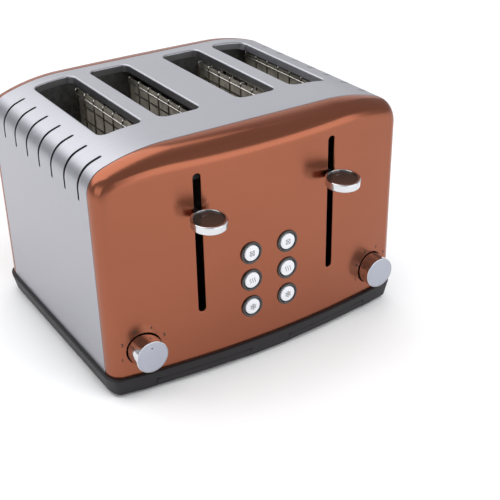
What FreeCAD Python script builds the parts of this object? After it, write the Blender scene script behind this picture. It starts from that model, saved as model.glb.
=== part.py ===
import FreeCAD, Part
import math
import os
import Sketcher

# A four slice toaster. X is to the right, the front faces -Y, Z is up. The origin is on the surface
# that it stands on, at the middle of the whole object's width and depth. All sizes are in millimetres.

doc = FreeCAD.newDocument("toaster")
sheet = doc.addObject("Spreadsheet::Sheet", "sizes")
UP = FreeCAD.Vector(0, 0, 1)
SIDES = {"left": -1, "right": 1}
row_count = 0
subparts = []


def dimension(alias, number, note):
    """One driving dimension: a plain number in the sheet, under a name."""
    global row_count
    row_count += 1
    sheet.set("A%d" % row_count, note)
    sheet.set("B%d" % row_count, str(number))
    sheet.setAlias("B%d" % row_count, alias)


# The case: a wrap sheet between two bowed end panels, on a moulded base.
dimension("case_half_width", 144.3, "outside of the case at its sides, from the middle")
dimension("case_height", 188.6, "top of the case above the base")
dimension("case_depth", 222, "front crease line to rear crease line at the sides")
dimension("face_bow", 12.4, "how far a panel's face stands out at the middle")
dimension("roll_side", 6.3, "rolled border, across, at the sides")
dimension("roll_top", 13.2, "rolled border, down, at the top")
dimension("roll_depth", 14.4, "rolled border, back to the seam")
dimension("roll_back", 19, "rolled border at the top, back from the bowed face")
dimension("top_flat", 76, "half of the flat top")
dimension("shoulder_radius", 165, "large arc of the case's shoulder")
dimension("corner_radius", 20.7, "small arc of the case's shoulder")
dimension("gauge", 1.0, "sheet metal of the case")
dimension("seam_gap", 0.8, "dark seam between panel and wrap")
# The base and its crumb trays.
dimension("foot_height", 3, "rubber foot below the base")
dimension("foot_radius", 9, "rubber foot")
dimension("base_height", 16.5, "base moulding that shows")
dimension("base_overhang", 2.7, "base outside of the case")
dimension("base_taper", 13, "slope of the base's sides in degrees")
dimension("base_wall", 2.4, "base moulding's wall")
dimension("tray_width", 88, "crumb tray front")
dimension("tray_height", 7.4, "crumb tray front")
dimension("tray_length", 196, "crumb tray from its front")
dimension("tray_gap", 0.4, "gap round a crumb tray front")
# The levers.
dimension("lever_x", 64, "lever and bread slot pair from the middle")
dimension("lever_slot_width", 6.5, "lever slot")
dimension("lever_slot_low", 43.7, "lower end of the lever slot above the base")
dimension("lever_slot_top", 166.5, "upper end of the lever slot above the base")
dimension("knob_radius", 14.7, "lever knob")
dimension("knob_height", 6.8, "lever knob")
dimension("knob_z", 132.6, "middle of the lever knob above the base")
dimension("knob_reach", 40.5, "front of the lever knob ahead of the crease line")
dimension("knob_tilt", 5, "lever knob leans forward, in degrees")
# Buttons and dials.
dimension("button_x", 17.8, "button column from the middle")
dimension("button_low_z", 33.7, "lowest button row above the base")
dimension("button_pitch", 25.5, "between button rows")
dimension("bezel_radius", 9.9, "ring round a button")
dimension("cap_radius", 7.0, "button cap")
dimension("cap_proud", 1.6, "button cap in front of the panel")
dimension("dial_x", 116, "dial from the middle")
dimension("dial_z", 23.6, "dial above the base")
dimension("dial_radius", 14.1, "dial")
dimension("dial_proud", 14.3, "dial in front of the panel")
# Bread slots and what surrounds them.
dimension("slot_width", 37.5, "bread slot")
dimension("slot_gap", 16.2, "between the two bread slots of a pair")
dimension("slot_start", 58.3, "bread slot behind the front crease line")
dimension("slot_length", 136, "bread slot")
dimension("slot_corner", 7, "bread slot corner")
dimension("vent_width", 3, "shoulder vent")
dimension("vent_start", 29, "first shoulder vent behind the front crease line")
dimension("vent_pitch", 25, "between shoulder vents")
dimension("vent_inner", 122.5, "inner end of a shoulder vent from the middle")
dimension("bulkhead_gap", 7, "bulkhead beyond the end of the bread slots")
dimension("oven_low", 22, "bottom of the oven's plates above the base")
dimension("oven_height", 158, "height of the oven's plates")
dimension("rack_z", 128.5, "bread rack above the base when the lever is up")
dimension("lever_travel", 85, "lever down to toast")
dimension("lever_lift", 22, "lever up to lift small bread out")
dimension("rod_radius", 3, "guide rod of a carriage")
dimension("wire", 1.8, "diameter of the bread guides' and racks' wire")
doc.recompute()

# Places worked out from the driving dimensions.
PANEL_LOW = "(sizes.foot_height + sizes.base_height)"
FRONT = "(-(sizes.case_depth + sizes.face_bow + sizes.base_overhang - sizes.knob_reach) / 2)"
REAR = "(%s + sizes.case_depth)" % FRONT
FRONT_SEAM = "(%s + sizes.roll_depth)" % FRONT
REAR_SEAM = "(%s - sizes.roll_depth)" % REAR
CREASE_X = "(sizes.case_half_width - sizes.roll_side)"
SLOT_START = "(%s + sizes.slot_start)" % FRONT
SLOT_END = "(%s + sizes.slot_length)" % SLOT_START
FRONT_BULKHEAD = "(%s - sizes.bulkhead_gap)" % SLOT_START
REAR_BULKHEAD = "(%s + sizes.bulkhead_gap)" % SLOT_END
OVEN_LOW = "(%s + sizes.oven_low)" % PANEL_LOW
FACE_BOW_RADIUS = "((%s ^ 2 + sizes.face_bow ^ 2) / (2 * sizes.face_bow))" % CREASE_X
DIAL_Z = "(%s + sizes.dial_z)" % PANEL_LOW
KNOB_Z = "(%s + sizes.knob_z)" % PANEL_LOW
KNOB_Y = "(%s - sizes.knob_reach + sizes.knob_radius)" % FRONT
FACE_FRONT = "(%s - sizes.face_bow)" % FRONT
FLOOR = "(sizes.foot_height + sizes.base_wall)"
RACK_Z = "(%s + sizes.rack_z)" % PANEL_LOW
OVEN_TOP = "(%s + sizes.oven_height)" % OVEN_LOW
BULKHEAD_LOW = "(sizes.foot_height + sizes.base_wall + 9)"
ROD_Y = "(%s - 9)" % FRONT_BULKHEAD
GUIDE_OFFSET = "(sizes.slot_width / 2 + 1.2)"
GUIDE_PIVOT_Z = "(%s + 4)" % OVEN_LOW
BOARD_LENGTH = "(%s - %s - 0.8)" % (REAR_BULKHEAD, FRONT_BULKHEAD)
BOARD_START = "(%s + 0.8)" % FRONT_BULKHEAD
INLET_X = "100"
INLET_Z = "(sizes.foot_height + 8.5)"


def value(expression):
    return float(sheet.evalExpression(str(expression)))


def bind(thing, **expressions):
    """Binds properties to expressions; a double underscore stands for a dot."""
    for name, expression in expressions.items():
        thing.setExpression(name.replace("__", "."), str(expression))
    return thing


def place(thing, x, y, z):
    return bind(thing, Placement__Base__x=x, Placement__Base__y=y, Placement__Base__z=z)


def box(name, low, size):
    thing = doc.addObject("Part::Box", name)
    bind(thing, Length=size[0], Width=size[1], Height=size[2])
    return place(thing, *low)


def cylinder(name, base, radius, length, axis="Z"):
    """A round bar that starts at base and runs along +X, +Y or +Z."""
    thing = doc.addObject("Part::Cylinder", name)
    turns = {"Z": FreeCAD.Rotation(), "Y": FreeCAD.Rotation(FreeCAD.Vector(1, 0, 0), -90),
             "X": FreeCAD.Rotation(FreeCAD.Vector(0, 1, 0), 90)}
    thing.Placement = FreeCAD.Placement(FreeCAD.Vector(), turns[axis])
    bind(thing, Radius=radius, Height=length)
    return place(thing, *base)


def fuse(name, pieces):
    thing = doc.addObject("Part::MultiFuse", name)
    thing.Shapes = pieces
    return thing


def group(name, pieces):
    """Separate solids that share one node."""
    thing = doc.addObject("Part::Compound", name)
    thing.Links = pieces
    return thing


def cut(name, base, tools):
    thing = doc.addObject("Part::Cut", name)
    thing.Base = base
    thing.Tool = tools[0] if len(tools) == 1 else fuse(name + "_tools", tools)
    return thing


def subpart(thing, label):
    """Marks an object as a sub-part: its label names its file."""
    thing.Label = label
    subparts.append(thing)
    return thing


def new_body(name):
    return doc.addObject("PartDesign::Body", name)


def body_sketch(body, name, plane, offset=None):
    """A sketch on one of the body's own origin planes, moved along its normal by offset."""
    sketch = body.newObject("Sketcher::SketchObject", name)
    support = [feature for feature in body.Origin.OriginFeatures if feature.Role == plane + "_Plane"]
    sketch.AttachmentSupport = [(support[0], "")]
    sketch.MapMode = "FlatFace"
    if offset is not None:
        sketch.setExpression(".AttachmentOffset.Base.z", str(offset))
    return sketch


def pin(sketch, geometry, end, x, y):
    """Fixes a point of the sketch at two expressions."""
    for kind, expression in (("DistanceX", x), ("DistanceY", y)):
        index = sketch.addConstraint(Sketcher.Constraint(kind, -1, 1, geometry, end, value(expression)))
        sketch.setExpression("Constraints[%d]" % index, str(expression))


def draw_loop(sketch, points, arcs):
    """A closed outline. arcs gives the radius of each edge that is round, by the edge's number;
    a negative radius bends the edge the other way."""
    count = len(points)
    ends = []
    for index in range(count):
        first = FreeCAD.Vector(value(points[index][0]), value(points[index][1]), 0)
        last_point = points[(index + 1) % count]
        last = FreeCAD.Vector(value(last_point[0]), value(last_point[1]), 0)
        if index not in arcs:
            geometry = sketch.addGeometry(Part.LineSegment(first, last), False)
            ends.append((geometry, 1, 2))
            continue
        radius = value(arcs[index])
        chord = last - first
        across = FreeCAD.Vector(-chord.y, chord.x, 0).normalize()
        rise = math.sqrt(radius * radius - chord.Length * chord.Length / 4)
        centre = (first + last) * 0.5 + across * (rise if radius > 0 else -rise)
        start = math.atan2(first.y - centre.y, first.x - centre.x)
        stop = math.atan2(last.y - centre.y, last.x - centre.x)
        circle = Part.Circle(centre, UP, abs(radius))
        if radius > 0:
            geometry = sketch.addGeometry(Part.ArcOfCircle(circle, start, stop), False)
            ends.append((geometry, 1, 2))
        else:
            geometry = sketch.addGeometry(Part.ArcOfCircle(circle, stop, start), False)
            ends.append((geometry, 2, 1))
        size = sketch.addConstraint(Sketcher.Constraint("Radius", geometry, abs(radius)))
        sketch.setExpression("Constraints[%d]" % size, "abs(%s)" % arcs[index])
    for index in range(count):
        geometry, begin, finish = ends[index]
        following = ends[(index + 1) % count]
        pin(sketch, geometry, begin, *points[index])
        sketch.addConstraint(Sketcher.Constraint("Coincident", geometry, finish, following[0], following[1]))


def draw_slot(sketch, x_low, x_high, y_low, y_high, corner):
    """A rectangle with rounded corners."""
    inner = ("(%s) + (%s)", "(%s) - (%s)")
    x1 = inner[0] % (x_low, corner)
    x2 = inner[1] % (x_high, corner)
    y1 = inner[0] % (y_low, corner)
    y2 = inner[1] % (y_high, corner)
    points = [(x1, y_low), (x2, y_low), (x_high, y1), (x_high, y2),
              (x2, y_high), (x1, y_high), (x_low, y2), (x_low, y1)]
    draw_loop(sketch, points, {1: corner, 3: corner, 5: corner, 7: corner})


def draw_rectangle(sketch, x_low, x_high, y_low, y_high):
    draw_loop(sketch, [(x_low, y_low), (x_high, y_low), (x_high, y_high), (x_low, y_high)], {})


def pad(body, sketch, name, length, reverse=False):
    feature = body.newObject("PartDesign::Pad", name)
    feature.Profile = sketch
    feature.Reversed = reverse
    return bind(feature, Length=length)


def pocket(body, sketch, name, length=None, reverse=False):
    """A pocket of a given length, or one right through both ways. It has to remove something."""
    feature = body.newObject("PartDesign::Pocket", name)
    feature.Profile = sketch
    feature.Reversed = reverse
    if length is None:
        feature.Type = "ThroughAll"
        feature.Midplane = True
    else:
        bind(feature, Length=length)
    doc.recompute()
    before = feature.BaseFeature.Shape.Volume
    if not feature.Shape.Volume < before - 0.01:
        raise RuntimeError("%s removes nothing" % name)
    return feature


def revolve(body, sketch, name, axis):
    """A full turn about one of the body's own axes."""
    feature = body.newObject("PartDesign::Revolution", name)
    feature.Profile = sketch
    line = [item for item in body.Origin.OriginFeatures if item.Role == axis + "_Axis"]
    feature.ReferenceAxis = (line[0], [""])
    return feature


# ---------------------------------------------------------------- the case

def case_outline(inset, extend="0"):
    """The case's outline seen from the front, from the left foot over the top to the right foot:
    its points and the radii of its round edges. extend lowers both feet."""
    width = "(sizes.case_half_width - %s)" % inset
    low = PANEL_LOW
    big = "(sizes.shoulder_radius - %s)" % inset
    small = "(sizes.corner_radius - %s)" % inset
    centre_z = "(%s + sizes.case_height - sizes.shoulder_radius)" % low
    run = "(sizes.case_half_width - sizes.corner_radius - sizes.top_flat)"
    span = "(sizes.shoulder_radius - sizes.corner_radius)"
    rise = "sqrt(%s ^ 2 - %s ^ 2)" % (span, run)
    side_top = "(%s + %s)" % (centre_z, rise)
    meet_x = "(sizes.top_flat + %s * %s / %s)" % (big, run, span)
    meet_z = "(%s + %s * %s / %s)" % (centre_z, big, rise, span)
    top = "(%s + sizes.case_height - %s)" % (low, inset)
    foot = "(%s - %s)" % (low, extend)
    right = [("sizes.top_flat", top), (meet_x, meet_z), (width, side_top), (width, foot)]
    left = [("-" + x, z) for x, z in reversed(right)]
    radii = {1: "-" + small, 2: "-" + big, 4: "-" + big, 5: "-" + small}
    return left + right, radii


def wrap_shell():
    """Top and both sides in one bent sheet, with the bread slots and the shoulder vents."""
    body = new_body("wrap_body")
    outer, outer_radii = case_outline("0")
    inner, inner_radii = case_outline("sizes.gauge")
    section = body_sketch(body, "wrap_section", "XZ", "-(%s + sizes.seam_gap / 2)" % FRONT_SEAM)
    radii = dict(outer_radii)
    for edge, radius in inner_radii.items():
        radii[14 - edge] = radius[1:]
    draw_loop(section, outer + list(reversed(inner)), radii)
    pad(body, section, "wrap_sheet", "%s - %s - sizes.seam_gap" % (REAR_SEAM, FRONT_SEAM), reverse=True)
    openings = body_sketch(body, "bread_slots", "XY", "%s + sizes.case_height / 2" % PANEL_LOW)
    for sign in SIDES.values():
        for near in (-1, 1):
            middle = "%d * sizes.lever_x + %d * (sizes.slot_gap + sizes.slot_width) / 2" % (sign, near)
            draw_slot(openings, middle + " - sizes.slot_width / 2", middle + " + sizes.slot_width / 2",
                      SLOT_START, SLOT_END, "sizes.slot_corner")
    doc.recompute()
    pocket(body, openings, "bread_slot_cuts", "sizes.case_height", reverse=True)
    vents = body_sketch(body, "first_vents", "XY", "%s + sizes.case_height - 38" % PANEL_LOW)
    start = "%s + sizes.vent_start" % FRONT
    for sign in SIDES.values():
        ends = sorted(["%d * sizes.vent_inner" % sign, "%d * (sizes.case_half_width + 2)" % sign], key=value)
        draw_rectangle(vents, ends[0], ends[1], start, start + " + sizes.vent_width")
    doc.recompute()
    first = pocket(body, vents, "first_vent_cuts", "sizes.case_height", reverse=True)
    pattern = body.newObject("PartDesign::LinearPattern", "vent_row")
    pattern.Originals = [first]
    line = [item for item in body.Origin.OriginFeatures if item.Role == "Y_Axis"]
    pattern.Direction = (line[0], [""])
    pattern.Occurrences = 7
    bind(pattern, Length="6 * sizes.vent_pitch")
    body.Tip = pattern
    subpart(body, "wrap_shell")


def plan_outline(front, inset):
    """Half of the case's outline seen from above: the bowed face between its two rolled sides,
    from left to right, and the radii of its three arcs. front is 1 for the front, -1 for the rear."""
    seam = FRONT_SEAM if front > 0 else REAR_SEAM
    crease = FRONT if front > 0 else REAR
    side = "(sizes.case_half_width - %s)" % inset
    crease_x = "(%s - %s)" % (CREASE_X, inset)
    crease_y = "(%s + %d * %s)" % (crease, front, inset)
    roll = "((sizes.roll_side ^ 2 + sizes.roll_depth ^ 2) / (2 * sizes.roll_side))"
    points = [("-" + side, seam), ("-" + crease_x, crease_y), (crease_x, crease_y), (side, seam)]
    return points, [roll, FACE_BOW_RADIUS, roll]


def end_panel_solid(name, front, inset, extend="0"):
    """A panel as a full solid, its surface moved in by inset, its back and foot moved out by extend."""
    body = new_body(name)
    seam = FRONT_SEAM if front > 0 else REAR_SEAM
    outline, radii = case_outline(inset, extend)
    back = "(%s - %d * (sizes.seam_gap / 2 - %s))" % (seam, front, extend)
    section = body_sketch(body, name + "_section", "XZ", "-" + back)
    draw_loop(section, outline, radii)
    pad(body, section, name + "_pad", "sizes.roll_depth + sizes.face_bow + 4", reverse=front < 0)
    plan = body_sketch(body, name + "_plan", "XY", "%s - %s" % (PANEL_LOW, extend))
    face, arcs = plan_outline(front, inset)
    far = "(%s - %d * (sizes.face_bow + 10))" % (FRONT if front > 0 else REAR, front)
    wide = "(sizes.case_half_width + 5)"
    loop = [("-" + wide, face[0][1])] + face + [(wide, face[0][1]), (wide, far), ("-" + wide, far)]
    bend = "" if front > 0 else "-"
    draw_loop(plan, loop, {edge + 1: bend + radius for edge, radius in enumerate(arcs)})
    doc.recompute()
    pocket(body, plan, name + "_bow")
    roll_top(body, name, front, inset)
    return body


def roll_top(body, name, front, inset):
    """Rolls the top of the bowed face back, by a groove turned about the bow's own centre."""
    crease = FRONT if front > 0 else REAR
    bow = FACE_BOW_RADIUS
    centre = "(%s + %d * (%s - sizes.face_bow))" % (crease, front, bow)
    sketch = body_sketch(body, name + "_roll", "YZ")
    sketch.setExpression(".AttachmentOffset.Base.x", centre)
    top = "(%s + sizes.case_height - %s)" % (PANEL_LOW, inset)
    face = "%d * (%s - %s)" % (-front, bow, inset)
    back = "%d * (%s - sizes.roll_back)" % (-front, bow)
    beyond = "%d * (%s + 3)" % (-front, bow)
    crease_z = "(%s - sizes.roll_top)" % top
    radius = "((sizes.roll_top ^ 2 + (sizes.roll_back - %s) ^ 2) / (2 * sizes.roll_top))" % inset
    loop = [(beyond, crease_z), (face, crease_z), (back, top), (back, top + " + 3"), (beyond, top + " + 3")]
    draw_loop(sketch, loop, {1: ("-" if front > 0 else "") + radius})
    groove = body.newObject("PartDesign::Groove", name + "_groove")
    groove.Profile = sketch
    groove.ReferenceAxis = (sketch, ["V_Axis"])
    doc.recompute()
    if not groove.Shape.Volume < groove.BaseFeature.Shape.Volume - 1:
        raise RuntimeError("%s isn't rolled" % name)


def end_panel(front, label, tools):
    """A pressed panel: its outer solid, hollowed from behind, with its openings."""
    outer = end_panel_solid(label + "_outer", front, "0")
    inner = end_panel_solid(label + "_inner", front, "sizes.gauge", "2")
    subpart(cut(label + "_sheet", outer, [inner] + tools), label)


def panel_openings():
    """Tools that cut the lever slots, the button holes and the dial holes."""
    tools = []
    start = "%s - sizes.face_bow - 5" % FRONT
    half = "(sizes.lever_slot_width / 2)"
    for side, sign in SIDES.items():
        middle = "%d * sizes.lever_x" % sign
        low = "(%s + sizes.lever_slot_low + %s)" % (PANEL_LOW, half)
        high = "(%s + sizes.lever_slot_top - %s)" % (PANEL_LOW, half)
        tools.append(box("slot_tool_" + side, ("%s - %s" % (middle, half), start, low),
                         ("sizes.lever_slot_width", 30, "%s - %s" % (high, low))))
        for end, z in (("low", low), ("high", high)):
            tools.append(cylinder("slot_%s_tool_%s" % (end, side), (middle, start, z), half, 30, "Y"))
        tools.append(cylinder("dial_tool_" + side, ("%d * sizes.dial_x" % sign, start, DIAL_Z),
                              "sizes.dial_radius + 0.8", 30, "Y"))
        for row in range(3):
            tools.append(cylinder("button_tool_%s_%d" % (side, row),
                                  ("%d * sizes.button_x" % sign, start, button_z(row)),
                                  "sizes.bezel_radius - 0.6", 30, "Y"))
    return tools


def button_z(row):
    return "(%s + sizes.button_low_z + %d * sizes.button_pitch)" % (PANEL_LOW, row)


def slot_middles():
    """The middles of the four bread slots: side, place within its pair and X."""
    for side, sign in SIDES.items():
        for near in (-1, 1):
            middle = "(%d * sizes.lever_x + %d * (sizes.slot_gap + sizes.slot_width) / 2)" % (sign, near)
            yield side, near, middle


# ---------------------------------------------------------------- the base

def base_solid(name, inset, length):
    """The base as a full solid: bowed front and rear, its sides sloping in on the way down."""
    body = new_body(name)
    sketch = body_sketch(body, name + "_plan", "XY", PANEL_LOW)
    face, arcs = plan_outline(1, inset)
    rear = plan_outline(-1, inset)[0]
    radii = {edge: radius for edge, radius in enumerate(arcs)}
    radii.update({edge + 4: radius for edge, radius in enumerate(arcs)})
    draw_loop(sketch, face + list(reversed(rear)), radii)
    feature = pad(body, sketch, name + "_pad", length, reverse=True)
    bind(feature, TaperAngle="-sizes.base_taper")
    return body


def base():
    outer = base_solid("base_outer", "(-sizes.base_overhang)", "sizes.base_height")
    inner = base_solid("base_inner", "(sizes.base_wall - sizes.base_overhang)",
                       "sizes.base_height - sizes.base_wall")
    mouths = []
    for side, sign in SIDES.items():
        mouths.append(box("tray_mouth_" + side,
                          ("%d * sizes.lever_x - sizes.tray_width / 2 - sizes.tray_gap" % sign,
                           "%s - 6" % FACE_FRONT, "sizes.foot_height + 1 - sizes.tray_gap"),
                          ("sizes.tray_width + 2 * sizes.tray_gap", "sizes.face_bow + 8",
                           "sizes.tray_height + 2 * sizes.tray_gap")))
    mouths.append(cylinder("inlet_hole", (INLET_X, "%s - 10" % REAR, INLET_Z), "5.6", 40, "Y"))
    shell = cut("base_hollow", outer, [inner] + mouths)
    bosses = []
    holes = []
    for index, (x, y) in enumerate(screw_places()):
        bosses.append(cylinder("boss_%d" % index, (x, y, FLOOR), 5, 8.4))
        holes.append(cylinder("shank_hole_%d" % index, (x, y, "sizes.foot_height"), 1.6, 10.2))
        holes.append(cylinder("head_hole_%d" % index, (x, y, "sizes.foot_height - 1"), 3.4, 3))
    subpart(cut("base_moulding", fuse("base_and_bosses", [shell] + bosses), holes), "base")
    return outer


def screw_places():
    """Six base screws: two rows of three, outside the crumb trays and between them."""
    for x in ("-125", "0", "125"):
        for y in ("%s + 22" % FRONT, "%s - 22" % REAR):
            yield x, y


def base_screws():
    screws = []
    for index, (x, y) in enumerate(screw_places()):
        head = cylinder("screw_head_%d" % index, (x, y, "sizes.foot_height + 0.4"), 3.1, 1.6)
        shank = cylinder("screw_shank_%d" % index, (x, y, "sizes.foot_height + 1"), 1.5, 8.8)
        screws.append(fuse("base_screw_%d" % index, [head, shank]))
    subpart(group("base_screw_group", screws), "base_screws")


def feet():
    pieces = []
    for side, sign in SIDES.items():
        for end, y in (("front", "%s + 20" % FRONT), ("rear", "%s - 20" % REAR)):
            foot = doc.addObject("Part::Cone", "foot_%s_%s" % (side, end))
            bind(foot, Radius1="sizes.foot_radius - 1", Radius2="sizes.foot_radius",
                 Height="sizes.foot_height")
            pieces.append(place(foot, "%d * 105" % sign, y, "0"))
    subpart(group("foot_group", pieces), "feet")


def crumb_trays(base_outer):
    back = "(%s + 0.4)" % FRONT
    for side, sign in SIDES.items():
        middle = "%d * sizes.lever_x" % sign
        low = "sizes.foot_height + 1"
        blank = box("tray_blank_" + side, ("%s - sizes.tray_width / 2" % middle, "%s - 6" % FACE_FRONT, low),
                    ("sizes.tray_width", "%s - %s + 4" % (back, FACE_FRONT), "sizes.tray_height"))
        front = doc.addObject("Part::Common", "tray_front_shape_" + side)
        front.Base = base_outer
        front.Tool = blank
        subpart(front, "tray_front_" + side)
        pan = box("pan_" + side,
                  ("%s - sizes.tray_width / 2 + 2" % middle, "%s - 2" % back, "%s + 0.4" % FLOOR),
                  ("sizes.tray_width - 4", "sizes.tray_length", "5.6"))
        hollow = box("pan_hollow_" + side,
                     ("%s - sizes.tray_width / 2 + 2.8" % middle, "%s - 1.2" % back, "%s + 1.2" % FLOOR),
                     ("sizes.tray_width - 5.6", "sizes.tray_length - 1.6", "5.6"))
        subpart(cut("pan_sheet_" + side, pan, [hollow]), "crumb_tray_" + side)


def cord_inlet():
    start = "(%s - 1)" % REAR
    tube = cylinder("inlet_tube", (INLET_X, start, INLET_Z), 5.5, 9, "Y")
    bore = cylinder("inlet_bore", (INLET_X, "%s - 1" % start, INLET_Z), 3.6, 12, "Y")
    subpart(cut("inlet_shape", tube, [bore]), "cord_inlet")


# ---------------------------------------------------------------- ovens

def bulkhead(label, y):
    """A plate across the case that carries the ovens, with a slot for each bread rack's arm."""
    plate = box(label + "_plate", ("-122", y, BULKHEAD_LOW),
                ("244", "0.8", "%s - %s" % (OVEN_TOP, BULKHEAD_LOW)))
    tools = []
    for side, near, middle in slot_middles():
        name = "%s_%s_%d" % (label, side, near + 1)
        low = "(%s - sizes.lever_travel - 5)" % RACK_Z
        tools.append(box(name + "_arm_slot", ("%s - 2.6" % middle, "%s - 1" % y, low),
                         ("5.2", "3", "sizes.lever_travel + sizes.lever_lift + 12")))
        for turn in (-1, 1):
            x = "%s + %d * %s" % (middle, turn, GUIDE_OFFSET)
            tools.append(cylinder("%s_pivot_%d" % (name, turn + 1), (x, "%s - 1" % y, GUIDE_PIVOT_Z),
                                  "sizes.wire / 2 + 0.08", "3", "Y"))
    subpart(cut(label + "_shape", plate, tools), label)


def oven_plates():
    """Heat shields outside the ovens, with round holes, and the divider between the two pairs."""
    height = "sizes.oven_height"
    divider = box("divider", ("-0.4", BOARD_START, OVEN_LOW), ("0.8", BOARD_LENGTH, height))
    subpart(divider, "centre_divider")
    for side, sign in SIDES.items():
        x = "(%d * 121 - 0.4)" % sign
        plate = box("shield_plate_" + side, (x, BOARD_START, OVEN_LOW), ("0.8", BOARD_LENGTH, height))
        holes = []
        for column in range(5):
            for row in range(2):
                y = "%s + 25 + %d * 25" % (BOARD_START, column)
                z = "%s + sizes.oven_height - 18 - %d * 30" % (OVEN_LOW, row)
                name = "shield_hole_%s_%d_%d" % (side, column, row)
                holes.append(cylinder(name, ("%s - 1" % x, y, z), 4, 3, "X"))
        subpart(cut("shield_shape_" + side, plate, holes), "side_shield_" + side)


def heaters():
    """Six mica boards, each with flat windings on both of its faces."""
    number = 0
    strips = []
    low = "(%s + 18)" % OVEN_LOW
    for sign in SIDES.values():
        for offset in (-1, 0, 1):
            number += 1
            x = "(%d * sizes.lever_x + %d * (sizes.slot_width + sizes.slot_gap / 2 + 7))" % (sign, offset)
            board = box("board_%d" % number, ("%s - 0.3" % x, BOARD_START, low), ("0.6", BOARD_LENGTH, "132"))
            subpart(board, "heater_board_%d" % number)
            for face, shift in ((0, "- 0.6"), (1, "+ 0.3")):
                for turn in range(9):
                    z = "%s + 10 + %d * 13.5" % (low, turn)
                    strips.append(box("strip_%d_%d_%d" % (number, face, turn),
                                      ("%s %s" % (x, shift), "%s + 8" % BOARD_START, z),
                                      ("0.3", "%s - 16" % BOARD_LENGTH, "1.6")))
    subpart(group("winding_strips", strips), "heater_windings")


def bread_guides():
    """Wire cages on both sides of each bread slot, each on a pivot wire through the bulkheads."""
    number = 0
    wire = "sizes.wire / 2"
    thin_wire = "(sizes.wire / 2 - 0.15)"
    top = "(%s - 3.5)" % OVEN_TOP
    for side, near, middle in slot_middles():
        for turn in (-1, 1):
            number += 1
            x = "(%s + %d * %s)" % (middle, turn, GUIDE_OFFSET)
            name = "guide_%d" % number
            pieces = [cylinder(name + "_pivot", (x, "%s - 1.2" % FRONT_BULKHEAD, GUIDE_PIVOT_Z), wire,
                               "%s - %s + 3.2" % (REAR_BULKHEAD, FRONT_BULKHEAD), "Y")]
            pieces.append(cylinder(name + "_rail", (x, "%s + 1" % SLOT_START, top), wire,
                                   "sizes.slot_length - 2", "Y"))
            for bar in range(8):
                y = "(%s + 3 + %d * (sizes.slot_length - 6) / 7)" % (SLOT_START, bar)
                pieces.append(cylinder("%s_bar_%d" % (name, bar), (x, y, GUIDE_PIVOT_Z), thin_wire,
                                       "%s - %s" % (top, GUIDE_PIVOT_Z)))
            subpart(fuse(name + "_cage", pieces), "bread_guide_%d" % number)


# ---------------------------------------------------------------- levers

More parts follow.
